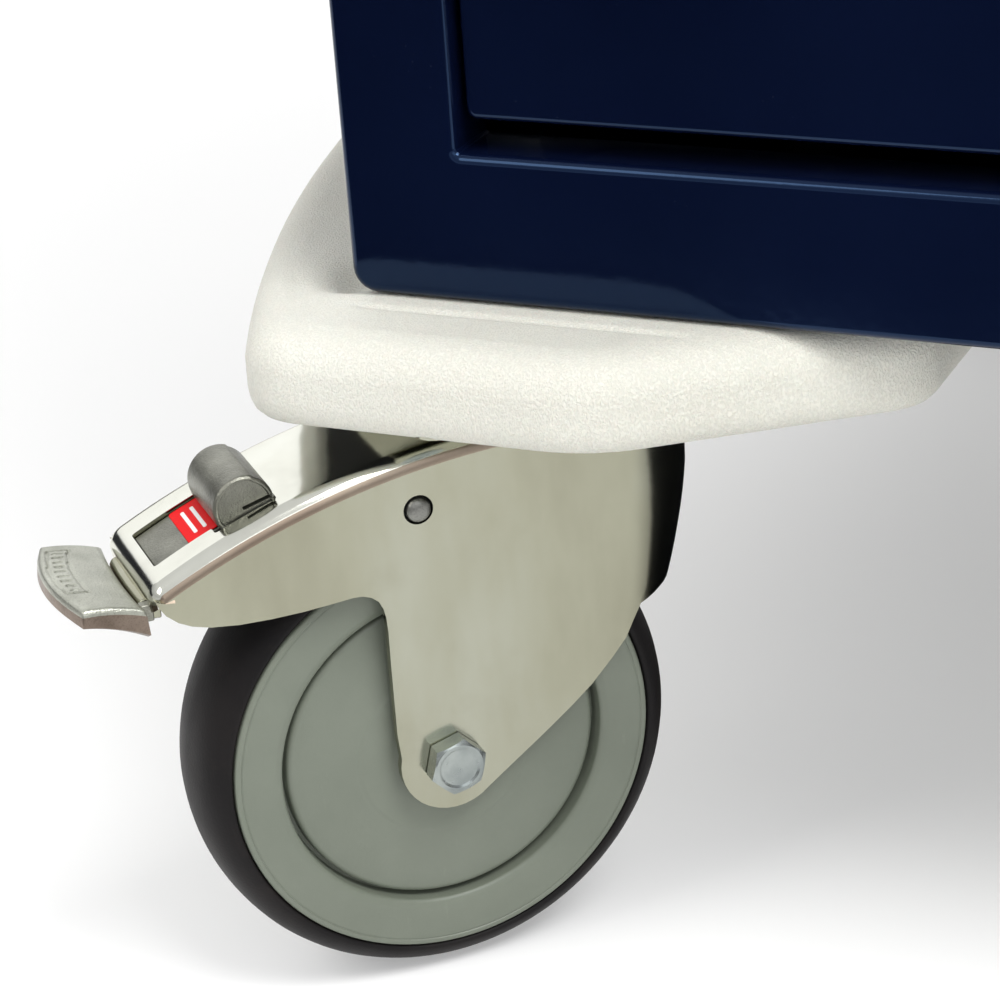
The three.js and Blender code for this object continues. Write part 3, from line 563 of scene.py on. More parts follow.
def fork_mesh(braked):
    bm = bmesh.new()
    end_u = 67.2 if braked else 20.0
    us = [-48 + (end_u + 48) * k / 30 for k in range(31)]
    folds = [rad(90 * k / 6) for k in range(7)]
    across = 6

    # rows of the top sheet: near fold, across, far fold
    flat = HALF - FOLD
    arch = [(flat + FOLD * cos(f), FOLD - FOLD * sin(f)) for f in folds]
    section = arch + [(flat - 2 * flat * k / across, 0.0) for k in range(1, across)]
    section += [(-y, q) for y, q in reversed(arch)]
    rows = [[bm.verts.new((u, y, crown(u) - q)) for y, q in section] for u in us]
    lip = 3.3
    if braked:
        for k in range(1, 8):
            turn = rad(12 * k)
            row = []
            for y, q in section:
                r = max(lip - q, 0.12)
                w = crown(end_u) - lip - max(q - lip, 0) + r * cos(turn) - 0.5 * r * sin(turn)
                row.append(bm.verts.new((end_u + r * sin(turn), y, w)))
            rows.append(row)
        row = []
        for (y, q), v in zip(section, rows[-1]):
            share = max(1 - q / FOLD, 0)
            row.append(bm.verts.new((v.co.x - 0.5 * share, y, v.co.z - 3.0 * share)))
        rows.append(row)
    for a, b in zip(rows, rows[1:]):
        for i in range(len(a) - 1):
            face = bm.faces.new((a[i], a[i + 1], b[i + 1], b[i]))
            # faces low on each fold get the painted shade band (1), the rest of the top sheet the painted
            # highlight zinc (2)
            fold = i < 2 or i >= len(a) - 3
            face.material_index = 1 if fold else 2

    # nose columns, from the near cheek round to the far one
    bottom = [(-48.0, 22.0), (-53.0, 30.0), (-60.0, 31.6), (-70.0, 32.6)]
    columns = []
    angles = 24
    levels = 12
    for k in range(angles + 1):
        t = pi * k / angles
        low = lerp_table(bottom, -48 - 19.4 * sin(t))
        column = []
        for j in range(levels + 1):
            w = low + (TOP_W - FOLD - low) * j / levels
            below = max(61.2 - w, 0)
            reach = 25.7 - 0.1 * below - 0.0045 * below * below
            column.append(bm.verts.new((-48 - reach * sin(t), HALF * cos(t), w)))
        for f in folds[1:]:
            inset = FOLD - FOLD * cos(f)
            column.append(bm.verts.new((-48 - (25.7 - inset) * sin(t), (HALF - inset) * cos(t),
                TOP_W - FOLD + FOLD * sin(f))))
        columns.append(column)
    for a, b in zip(columns, columns[1:]):
        for i in range(len(a) - 1):
            bm.faces.new((a[i], a[i + 1], b[i + 1], b[i]))
    for k in range(angles // 2):
        a, b, c, d = columns[k][-1], columns[k + 1][-1], columns[angles - k - 1][-1], columns[angles - k][-1]
        bm.faces.new((a, b, c, d) if b is not c else (a, b, d))

    # flat cheeks
    for side, column, edge in ((1, columns[0], 0), (-1, columns[-1], -1)):
        ring = [row[edge] for row in rows[:31]]
        ring += [bm.verts.new((u, side * HALF, w)) for u, w in cheek_bottom(braked)]
        ring += column[:levels + 1]
        bm.faces.new(ring)
    bmesh.ops.remove_doubles(bm, verts=bm.verts, dist=0.02)
    return bm


def hexagon(bm, y0, height, sign, flats=6.5):
    """A hexagon head with the turned chamfer on its corners and a shallow dish."""
    n = 72
    rows = [[] for _ in range(6)]
    for k in range(n):
        a = 2 * pi * k / n + rad(14)
        local = (2 * pi * k / n + pi / 6) % (pi / 3) - pi / 6
        r = flats / cos(local)
        drop = (r - flats + 0.35) * 0.6
        steps = ((r - 0.25, 0.0), (r, 0.25), (r, height - drop), (flats - 0.35, height),
            (flats - 1.1, height), (flats - 1.7, height - 0.3))
        for row, (rr, h) in zip(rows, steps):
            row.append((rr * cos(a), y0 + sign * h, rr * sin(a)))
    loft(bm, rows)


def brake_lever_parts(corner, at):
    """The parts of the brake that move together: pad, label, release hump, neck, clip and pedal."""
    def add(name, bm, look, **rest):
        piece(corner + name, bm, look, corner + "_brake", at=at, **rest)

    slot_half, start, end = 9.8, 35.5, 65.8

    # the pad under the slot, with the bar that runs back to the pin
    bm = bmesh.new()
    rows = []
    for k in range(25):
        u = 4 + (end - 4) * k / 24
        top = crown(u, 1.0) if u > start else crown(u, SHEET + 0.7)
        half = slot_half if u > start else 15.0
        low = 65.0 - (u - 4) * 0.18
        rows.append([(u, y, w) for y, w in ((half, low), (half, top), (-half, top), (-half, low))])
    loft(bm, rows)
    add("_brake_pad", bm, CAST, hides=(corner + "_brake_lever",), bevel=0.35, angle=32)

    bm = bmesh.new()
    rows = ((0.78, 0, 0.8), (0.66, 0, 0.8), (0.62, 0.15, 0.7))
    loft(bm, [[(u, y, crown(u, drop)) for u, y in rect(49.2 + d, -9.3 + d, 57.0 - d, 9.3 - d, r, 4)]
              for drop, d, r in rows])
    add("_brake_label", bm, RED, slot="cast_zinc", angle=32)
    bm = bmesh.new()
    for u in (51.9, 54.3):  # two plain bars
        loft(bm, [[(p, y, crown(p, d)) for p, y in rect(u - 0.45, -6.4, u + 0.45, 6.4, 0.4, 3)]
            for d in (0.66, 0.59)])
    add("_brake_label_bars", bm, CARD, slot="cast_zinc", angle=32)

    # release hump: half round across the arm, with a rim, a flat face and a slit along its chord
    bm = bmesh.new()
    tilt = rad(-15)
    centre = (43.5, 75.1)
    rows = []
    near, far = 13.1, -9.8
    outline = []
    for k in range(33):
        a = pi * k / 32
        r = 7.8 - (0.35 if a > rad(128) else 0.0)
        outline.append((r * cos(a), r * sin(a)))
    outline += [(-7.7, -2.2), (-7.3, -4.2), (7.1, -3.0), (7.8, -1.4)]
    for y, scale in ((far, 0.94), (far + 0.5, 0.985), (far + 1.2, 1.0), (near - 0.9, 1.0),
            (near - 0.35, 0.975), (near, 0.92), (near - 0.05, 0.87), (near - 0.55, 0.83)):
        rows.append([(centre[0] + scale * (p * cos(tilt) - q * sin(tilt)), y,
                      centre[1] + scale * (p * sin(tilt) + q * cos(tilt))) for p, q in outline])
    loft(bm, rows)
    slit = bmesh.new()
    box(slit, (-8.6, near - 3.0, -0.9), (0.6, near + 2, 0.05))
    slit.transform(Matrix.Translation((centre[0], 0, centre[1])) @ Matrix.Rotation(-tilt, 4, "Y"))
    add("_release_pad", bm, CAST, angle=40, cuts=(tool(slit, at),))

    # neck and clip between the arm's end and the pedal
    bm = bmesh.new()
    rows = []
    for k in range(13):
        y = -13.5 + 27 * k / 12
        bow = 1.3 * (1 - (y / 15) ** 2)
        rows.append([(66.6, y, 51.6), (71.6 + bow * 0.4, y, 52.0), (71.9 + bow * 0.4, y, 56.0),
            (71.2 + bow * 0.3, y, 57.2), (70.2, y, 57.6), (66.6, y, 56.6)])
    loft(bm, rows)
    add("_brake_neck", bm, ZINC, bevel=0.5, angle=32)
    add("_brake_clip", made(rounded, (69.2, 14.2, 53.0), (72.4, 17.0, 57.4), 0.5, 0.4), CAST, angle=32)

    # pedal: the top in a painted light copy of the cast zinc, the sides and bottom in a painted shade copy
    bm = bmesh.new()
    nu, nv = 44, 110
    half = 21.0
    grid = []
    for i in range(nu + 1):
        s = i / nu
        row = []
        for j in range(nv + 1):
            t = -1 + 2 * j / nv
            inner = 71.7 + 1.1 * (1 - t * t)
            outer = 87.0 + 4.0 * (1 - t * t)
            u = inner + (outer - inner) * s
            y = half * t * (0.975 + 0.025 * s)
            w = 57.6 + (u - 71.0) * 0.215 + 0.72 * (1 - (2 * s - 1) ** 2)
            edge = min(s * (outer - inner), (1 - s) * (outer - inner), half * (1 - abs(t)))
            r = 1.5
            if edge < r:
                w -= r - sqrt(max(r * r - (r - edge) ** 2, 0))
            # a plain sunk frame with a few ribs, following the outer edge's bow
            q = (u - (outer - 7.6)) / 5.2
            if -0.16 < q < 1.16 and -0.80 < t < 0.50:
                on_long = abs(q) < 0.07 or abs(q - 1) < 0.07
                on_short = (abs(t + 0.78) < 0.016 or abs(t - 0.48) < 0.016) and -0.07 < q < 1.07
                rib = 0.25 < q < 0.75 and abs(((t + 0.78) / 0.14) % 1 - 0.5) < 0.16 and -0.70 < t < 0.40
                if on_long or on_short or rib:
                    w -= 0.35
            row.append(bm.verts.new((u, y, w)))
        grid.append(row)
    for a, b in zip(grid, grid[1:]):
        for i in range(nv):
            bm.faces.new((a[i], a[i + 1], b[i + 1], b[i]))
    rim = [r[0] for r in grid] + grid[-1][1:] + [r[-1] for r in reversed(grid[:-1])] + grid[0][-2:0:-1]
    below, under = [], []
    for v in rim:
        u, y, w = v.co
        s = min(max((u - 71.7) / 17, 0), 1)
        deep = 5.0 - 2.6 * s
        below.append(bm.verts.new((u + 0.3 * s - 0.4 * (1 - s), y, w - deep)))
        under.append(bm.verts.new((72.4 + (u - 72.4) * 0.93, y * 0.93, w - deep - 0.9)))
    # the side walls and the bottom get the painted shade copy of the cast zinc (1)
    for a, b in ((rim, below), (below, under)):
        for i in range(len(rim)):
            bm.faces.new((a[i - 1], a[i], b[i], b[i - 1])).material_index = 1
    bm.faces.new(under).material_index = 1
    add("_brake_pedal", bm, PEDAL_LIT, angle=48, more=(CAST_SIDE_SHADE,))


def caster(corner, braked):
    low, high = box_mm(corner + "_swivel_head")
    x, y = (low.x + high.x) / 2, (low.y + high.y) / 2
    yaw = {"front_left": -135, "front_right": -45, "rear_left": 135, "rear_right": 45}[corner]
    swivel = Matrix.Translation((x, y, 0)) @ Matrix.Rotation(rad(yaw), 4, "Z")
    at = swivel @ Matrix.Translation((TRAIL, 0, RADIUS))

    def stand_in(name, bm, look, **rest):
        show(corner + name, bm, look, at=at, **rest)

    # wheel centre and tyre
    half = [(4.4, 17.7), (10.8, 17.7), (11.8, 17.0), (12.0, 16.4), (12.6, 15.9), (14.0, 15.7),
        (21.6, 15.65), (22.3, 15.4), (23.0, 15.2), (30.0, 14.5), (36.0, 13.8), (39.0, 13.45), (39.9, 13.2),
        (40.4, 12.6), (40.5, 11.8), (40.6, 10.6), (40.8, 10.0), (41.7, 10.0), (41.9, 10.6), (42.0, 14.3),
        (42.25, 14.95), (42.9, 15.35), (43.8, 15.6), (44.5, 15.85), (47.0, 15.95), (52.3, 16.0),
        (52.55, 15.8), (52.8, 15.8), (53.0, 16.0), (53.8, 15.95), (54.25, 15.7), (54.45, 15.2),
        (54.5, 14.0)]
    stand_in("_wheel_centre", made(lathe, mirrored(half), "Y", n=144,
        closed=True), WHEEL, angle=40)
    half = [(54.7, 14.4), (54.9, 15.3), (55.5, 15.65), (56.3, 15.5), (57.6, 14.7), (58.9, 13.5),
        (60.0, 12.0), (60.9, 10.2), (61.6, 8.0), (62.1, 5.2), (62.4, 2.6), (62.5, 0.6)]
    stand_in("_tyre", made(lathe, mirrored(half), "Y", n=144, closed=True), TYRE)

    # axle bolt and nut
    bm = bmesh.new()
    hexagon(bm, 21.2, 5.2, 1)
    hexagon(bm, -21.2, 5.0, -1)
    lathe(bm, [(4, -28.4), (4, 19.0)], "Y", n=32)
    stand_in("_axle_bolt", bm, BOLT, angle=25)

    # fork
    def bore(r, u=0, w=0, n=32):
        return tool(made(lathe, [(r, -40), (r, 40)], "Y", (u, 0, w), n), at)

    def slot(*sides):
        return tool(made(loft, [[(u, y, w) for u, y in rect(*sides, 0.7, 3)] for w in (54, 92)]), at)

    cuts = [bore(4.2)]
    if braked:
        cuts += [bore(3.75, PIN_U, PIN_W, 40), slot(35.6, -10.2, 66.3, 10.2), slot(35.6, 8.0, 51.5, 13.25)]
    # the cheeks take the plain zinc; the low band of each fold takes a painted shade copy and the rest of the
    # top sheet a painted highlight copy
    stand_in("_fork", fork_mesh(braked), ZINC, thick=SHEET, cuts=cuts, bevel=0.4, steps=2, angle=40,
        more=(ZINC_FOLD_SHADE, ZINC_TOP_LIT), even=False)

    if braked:
        bm = bmesh.new()
        dome = [(3.1, 18.8), (3.1, 21.0), (2.95, 21.5), (2.5, 21.95), (1.6, 22.3), (0.0, 22.4)]
        lathe(bm, dome, "Y", (PIN_U, 0, PIN_W), 40)
        lathe(bm, [(r, -h) for r, h in dome], "Y", (PIN_U, 0, PIN_W), 40)
        stand_in("_brake_pin", bm, PIN, angle=40)
        # painted shade: a near-black ring filling the gap between the pin and its hole, standing in for the
        # shade inside the hole
        piece(corner + "_brake_pin_hole_shade", made(lathe, [(3.0, 17.5), (3.74, 17.5), (3.74, 19.6),
            (3.0, 19.6)], "Y", (PIN_U, 0, PIN_W), 40, closed=True), DARK, corner + "_caster", at=at,
            angle=32)
        brake_lever_parts(corner, at)

    # swivel head: top plate with four bolts, race housing and dust ring
    head = body_of(corner + "_swivel_head")
    piece(corner + "_swivel_plate", made(rounded, (-45, -38, 154.7), (45, 38, 157.3), 6, 0.6), ZINC, head,
        hides=(corner + "_swivel_head",), at=swivel, angle=32)
    piece(corner + "_race_housing", made(lathe, [(6, 147.7), (27.5, 147.7), (28.6, 148.0), (29.4, 148.9),
        (29.6, 150.2), (29.2, 151.0), (30.0, 151.6), (30.6, 152.4), (31.2, 154.8), (6, 154.8)], "Z", n=72,
        closed=True), ZINC, head, at=swivel)
    screws(corner + "_plate_bolts", [(x, y, 154.8) for x in (-37, 37) for y in (-29, 29)], "Z", -1, 6.0,
        1.0, head, 25, swivel)
    piece(corner + "_kingpin", made(lathe, [(0, 138.8), (5.0, 138.9), (8.2, 139.6), (9.0, 140.8),
        (9.0, 144.3), (6.0, 144.4), (6.0, 149.0), (0, 149.0)], "Z", n=40), BOLT, head, at=swivel, angle=40)


for corner in ("front_left", "front_right", "rear_left", "rear_right"):
    caster(corner, corner.startswith("front"))


# ------------------------------------------------------------------ base mouldings
def bumper_outline(steps=60):
    """The right-hand moulding's plan: a long bow outside, tapered in under the cabinet at both ends."""
    low, high = box_mm("base_bumper_right")
    bow, front, inner, end_x, end_y = 604.0, high.y, 232.0, 166.5, 218.5
    centre = high.x - bow + 2.2
    corner_y = front - 11.5
    a = asin(corner_y / bow)
    cx = centre + bow * cos(a)
    tip = cx - (front - corner_y) * tan(a)  # where the bow's end tangent meets the front
    out = []

    def bend(p, q, r, n=8):
        for k in range(n + 1):
            t = k / n
            out.append(tuple(p[i] * (1 - t) ** 2 + 2 * q[i] * t * (1 - t) + r[i] * t * t for i in (0, 1)))

    bend((end_x, -end_y + 8), (end_x, -end_y), (end_x + 8, -end_y - 5.9))
    bend((inner - 11, -front + 8.1), (inner, -front), (inner + 14, -front))
    near, far = inner + 14, tip - 12.5
    for k in range(1, 14):
        out.append((near + (far - near) * k / 14, -front))
    bend((far, -front), (tip + 0.6, -front), (cx, -corner_y), 12)
    for k in range(1, steps):
        t = -a + 2 * a * k / steps
        out.append((centre + bow * cos(t), bow * sin(t)))
    bend((cx, corner_y), (tip + 0.6, front), (far, front), 12)
    for k in range(1, 14):
        out.append((far - (far - near) * k / 14, front))
    bend((near, front), (inner, front), (inner - 11, front - 8.1))
    bend((end_x + 8, end_y + 5.9), (end_x, end_y), (end_x, end_y - 8))
    return out


def inset(points, d):
    """Moves a closed outline inwards by d."""
    out = []
    n = len(points)
    for i in range(n):
        p, a, b = Vector(points[i]), Vector(points[i - 1]), Vector(points[(i + 1) % n])
        t = (b - a).normalized()
        out.append(tuple(p + Vector((-t.y, t.x)) * d))
    return out


def base_bumper(side):
    name = "base_bumper_" + ("right" if side > 0 else "left")
    low, high = box_mm(name)
    z0, z1 = low.z - 3.2, high.z  # the shell's lip hides the caster plates
    plan = bumper_outline()
    rows = [(9.4, z0 + 3.4), (8.8, z0 + 0.9), (7.8, z0 + 0.2), (6.6, z0), (4.4, z0 + 0.15), (2.5, z0 + 0.9),
        (1.1, z0 + 2.3), (0.3, z0 + 4.4), (0.0, z0 + 7.0), (0.1, z1 - 9.6), (0.6, z1 - 7.2),
        (1.7, z1 - 4.8), (3.4, z1 - 2.8), (5.6, z1 - 1.3), (8.2, z1 - 0.45), (11.0, z1 - 0.1)]
    bm = bmesh.new()
    loft(bm, [[(x, y, h) for x, y in inset(plan, d)] for d, h in rows])
    top = [f for f in bm.faces if len(f.verts) > 8 and f.calc_center_median().z > z1 - 1]

    def slice_top(faces, point, normal):
        geom = list(faces) + list({e for f in faces for e in f.edges})
        geom += list({v for f in faces for v in f.verts})
        done = bmesh.ops.bisect_plane(bm, geom=geom, plane_co=point, plane_no=normal, dist=0.001)
        return [g for g in done["geom"] if isinstance(g, bmesh.types.BMFace)]

    xs = [175 + 9 * k for k in range(14)] + [298 + 2.2 * k for k in range(30)]
    ys = [-262 + 2.2 * k for k in range(28)] + [-196 + 14 * k for k in range(33)]
    ys += [-244.2 + 0.6 * k for k in range(10)]  # close rows for the crease
    for x in xs:
        top = slice_top(top, (x, 0, 0), (1, 0, 0))
    for y in ys:
        top = slice_top(top, (0, y, 0), (0, 1, 0))
    for v in {v for f in top for v in f.verts}:
        x, y = v.co.x, v.co.y
        if v.co.z < z1 - 0.5:
            continue
        ends = min(1.0, max(0.0, (min(y + 266, 266 - y)) / 10))
        z = 0.0
        for s in (-1, 1):  # a dent beside each cabinet corner
            dent = exp(-(((x - 310) / 7.5) ** 2 + ((y - s * 224) / 8) ** 2))
            small = exp(-(((x - 325) / 8) ** 2 + ((y - s * 234) / 6) ** 2))
            z -= 4.2 * dent + 1.5 * small
        if x < 304:  # a crease in front of the cabinet's lower edge
            fade = min(1, max(0, (304 - x) / 8))
            z -= 0.8 * fade * (exp(-((y + 241.5) / 1.2) ** 2) + exp(-((y - 241.5) / 1.2) ** 2))
        v.co.z += z * ends
    at = None if side > 0 else Matrix.Scale(-1, 4, (1, 0, 0))
    show(name, bm, CREAM, at=at, angle=60)
    # painted shade: a near-black sheet inside the moulding's hollow, standing in for the shade under the
    # shell
    piece(name + "_underside_painted_shade", made(loft, [[(x, y, h) for x, y in inset(plan, 9.6)]
        for h in (z0 + 2.9, z0 + 3.5)]), DARK, at=at, angle=32)


# ------------------------------------------------------------------ cabinet
def arc_rows(r, n=4):
    """Insets and depths round a quarter bend of radius r, from the side wall to the face."""
    return [(r * (1 - cos(rad(90 * k / n))), r * (1 - sin(rad(90 * k / n)))) for k in range(n + 1)]


CAB_LOW, CAB_HIGH = box_mm("cabinet_shell")
FRONT_Y = CAB_LOW.y
OPEN_X, OPEN_LOW, OPEN_HIGH = 275.0, CAB_LOW.z + 36.5, CAB_HIGH.z - 36.2


def cabinet():
    (x0, y0, z0), (x1, y1, z1) = CAB_LOW, CAB_HIGH
    bm = bmesh.new()
    rings = []

    def ring(d, y):
        rings.append([(x, y, z) for x, z in rect(x0 + d, z0 + d, x1 - d, z1 - d, 6 - d, 6)])

    for d, h in reversed(arc_rows(2.4)):
        ring(d, y1 - h)
    for y in (y1 - 40, 0.0, y0 + 40):
        ring(0.0, y)
    for d, h in arc_rows(2.2):
        ring(d, y0 + h)

    def inner(d, y, r):
        rings.append([(x, y, z) for x, z in rect(-OPEN_X - d, OPEN_LOW - d, OPEN_X + d, OPEN_HIGH + d, r, 6)])

    for d, h in reversed(arc_rows(2.4, 5)):
        inner(d, y0 + h, 1.2 + d)
    inner(0.0, y0 + 9, 1.2)
    inner(0.0, y0 + 18, 1.2)
    loft(bm, rings, end=False)
    show("cabinet_shell", bm, NAVY, thick=1.4)

    # back panel with a pressed border, and screws
    piece("back_panel", made(rounded, (x0 + 22, y1 - 0.2, z0 + 26), (x1 - 22, y1 + 0.25, z1 - 26), 8, 0.2,
        axis=1), NAVY, angle=32)
    spots = [(x, z) for x in (x0 + 32, -100, 100, x1 - 32) for z in (z0 + 36, z1 - 36)]
    spots += [(x, z) for z in (z0 + 250, z0 + 510) for x in (x0 + 32, x1 - 32)]
    screws("back_panel_screws", [(x, y1 + 0.2, z) for x, z in spots], "Y", 1, 4.2, 2.0)


def drawer(n):
    name = body = f"drawer_{n}"
    (x0, y0, z0), (x1, y1, z1) = box_mm(name + "_front")
    bm = bmesh.new()
    rows = [(1.2, y1 - 1.2), (1.2, y1), (0.0, y1), (0.0, y1 - 4), (0.0, y0 + 6)]
    rows += [(d, y0 + h) for d, h in arc_rows(1.8)]
    loft(bm, [[(x, y, z) for x, z in rect(x0 + d, z0 + d, x1 - d, z1 - d, max(2.6 - d, 0.5), 5)]
              for d, y in rows])
    show(name + "_front", bm, NAVY)

    # bow pull with two turned feet
    (px0, py0, pz0), (px1, py1, pz1) = box_mm(name + "_pull")
    z, r = (pz0 + pz1) / 2, (pz1 - pz0) / 2
    bm = bmesh.new()
    tube(bm, smooth_path([(px0 + r, py1, z), (px0 + r, py0 + r, z), (px1 - r, py0 + r, z),
        (px1 - r, py1, z)], 15), r, 28)
    for x in (px0 + r, px1 - r):
        lathe(bm, [(0, py1 + 0.25), (8.2, py1 + 0.25), (8.2, py1 - 1.2), (7.2, py1 - 2.2), (5.6, py1 - 2.7),
            (r, py1 - 3.4)], "Y", (x, 0, z), 40)
    show(name + "_pull", bm, CHROME)

    # label holder with a blank card
    lx, lz = x0 + 88, z
    piece(name + "_label_holder", made(rounded, (lx - 42, y0 - 2.1, lz - 13), (lx + 42, y0 + 0.1, lz + 13),
        3.0, 0.7, axis=1), BLACK, body)
    piece(name + "_label_card", made(rounded, (lx - 38.5, y0 - 2.45, lz - 9.5),
        (lx + 38.5, y0 - 2.0, lz + 9.5), 1.2, 0.15, axis=1), CARD, body)

    refine(name + "_tray", TRAY, 0.5)


def work_top():
    (x0, y0, z0), (x1, y1, z1) = box_mm("work_top")
    floor = z1 - 14
    rows = ((9, z0), (5.5, z0 + 0.3), (2.6, z0 + 1.6), (0.8, z0 + 4.2), (0.1, z0 + 8), (0, z0 + 14),
        (0, z1 - 9), (0.5, z1 - 5.6), (1.7, z1 - 2.9), (3.6, z1 - 1.0), (6.2, z1 - 0.1), (8.6, z1),
        (11.0, z1 - 0.5), (12.9, z1 - 1.9), (14.1, z1 - 4.0), (14.9, floor + 5.0), (15.6, floor + 2.6),
        (17.0, floor + 0.9), (19.4, floor + 0.1), (22.5, floor))
    bm = bmesh.new()
    loft(bm, [[(x, y, z) for x, y in rect(x0 + d, y0 + d, x1 - d, y1 - d, 34 - d * 0.75, 10)]
              for d, z in rows])
    show("work_top", bm, TOP_CREAM, angle=60)
    # a shallow ribbed mat in the recess keeps things from sliding
    bm = bmesh.new()
    rounded(bm, (x0 + 34, y0 + 34, floor - 0.2), (x1 - 34, y1 - 34, floor + 1.6), 16, 0.6, n=8)
    mat = plastic_look("mat_grey", (0.12, 0.13, 0.145), (0.155, 0.165, 0.18), (0.5, 0.7), 800, 0.0004)
    piece("work_top_mat", bm, mat)
    bm = bmesh.new()
    count = 34
    for k in range(count):
        y = y0 + 46 + (y1 - y0 - 92) * k / (count - 1)
        rounded(bm, (x0 + 44, y - 1.4, floor + 1.4), (x1 - 44, y + 1.4, floor + 2.5), 1.2, 0.5, n=3)
    piece("work_top_mat_ribs", bm, mat)


# ------------------------------------------------------------------ accessories
PLATE = 3.9  # a mounting plate's screwed face stands this far off the cabinet's side


def side_screws(name, spots):
    """Screws on the plates of the cabinet's left side."""
    screws(name, [(-CAB_HIGH.x - 0.3 - PLATE, y, z) for y, z in spots], "X", -1, 4.4, 2.2)


def push_handle():
    (x0, y0, z0), (x1, y1, z1) = box_mm("push_handle")
    z = (z0 + z1) / 2
    r = 12.5
    half = (y1 - y0) / 2 - 24
    bm = bmesh.new()
    path = smooth_path([(x0, -half, z), (x1 - r, -half, z), (x1 - r, half, z), (x0, half, z)], 34, 12)
    tube(bm, path, r, 40)
    show("push_handle", bm, CHROME)
    bm = bmesh.new()
    for y in (-half, half):
        lathe(bm, [(0, x0), (24, x0), (24, x0 + 3), (23.2, x0 + 4.2), (21.5, x0 + 4.9), (15, x0 + 5.2),
            (13.6, x0 + 7.4), (12.4, x0 + 7.6)], "X", (0, y, z), 64)
        for a in (45, 135, 225, 315):
            screw(bm, x0 + 4.6, y + 18.6 * cos(rad(a)), z + 18.6 * sin(rad(a)), "X", 1, 2.6, 1.4)
    piece("push_handle_flanges", bm, CHROME, angle=45)
    # soft grip along the straight stretch, with shallow rings
    bm = bmesh.new()
    grip = half - 40
    steps = 110
    pts = [Vector((x1 - r, -grip + 2 * grip * k / steps, z)) for k in range(steps + 1)]
    radii = []
    for k in range(steps + 1):
        s = k / steps
        edge = min(s, 1 - s) * 2 * grip
        base = 12.6 + 1.7 * min(1, edge / 4)
        radii.append(base - (0.45 if k % 8 in (0, 1) and edge > 8 else 0.0))
    tube(bm, pts, radii, 40)
    # the grip stays inside the handle's own reach
    bm.transform(Matrix.Translation((-1.8, 0, 0)))
    piece("push_handle_grip", bm, BLACK)


def defib():
    post_low, post_high = box_mm("defib_post")
    (x0, y0, z0), (x1, y1, z1) = box_mm("defib_shelf")
    px, py, seat = x1 - 22, y1 - 30, z0 - 0.3
    refine("defib_post", CHROME, 0.8, name="defib_post_plate")
    piece("defib_post_tube", made(lathe, [(14.9, post_low.z - 0.4), (15.2, post_low.z),
        (15.2, post_low.z + 2), (15.08, post_low.z + 2.4), (15.08, seat - 3), (15.4, seat - 2.6),
        (15.4, seat - 0.4), (15.0, seat)], "Z", (px, py, 0), 64), CHROME)
    screws("defib_post_screws", [(post_low.x + PLATE, y, post_low.z + z) for z in (10, 75, 140)
        for y in (py - 26, py + 26)], "X", 1, 4.6, 2.2)

    body = body_of("defib_shelf")
    bm = bmesh.new()
    rings = []
    plate = z1 - 14
    for d, z in ((3, plate), (0.9, plate + 0.9), (0, plate + 3), (0, z1 - 1), (0.3, z1 - 0.3), (1, z1),
            (1.8, z1 - 0.3), (2.1, z1 - 1), (2.1, plate + 4.2), (3.2, plate + 2.4), (5, plate + 2)):
        rings.append([(x, y, z) for x, y in rect(x0 + d, y0 + d, x1 - d, y1 - d, 22 - d, 10)])
    loft(bm, rings)
    lathe(bm, [(20, plate + 0.3), (20, z0 + 1.2), (19.2, z0 + 0.4), (10.6, z0), (10.6, plate - 1)], "Z",
        (px, py, 0), 64)
    show("defib_shelf", bm, NAVY, angle=45)
    piece("defib_shelf_mat", made(rounded, (x0 + 14, y0 + 14, plate + 1.8), (x1 - 14, y1 - 14, plate + 3.4),
        12, 0.5, n=6), BLACK, body)
    # bright stops along the front edge
    bm = bmesh.new()
    for x in (x0 + 60, x1 - 60):
        rounded(bm, (x - 30, y0 + 6, plate + 2), (x + 30, y0 + 10, z1 - 2.4), 1.5, 0.5, n=4)
    piece("defib_shelf_stops", bm, CHROME, body)


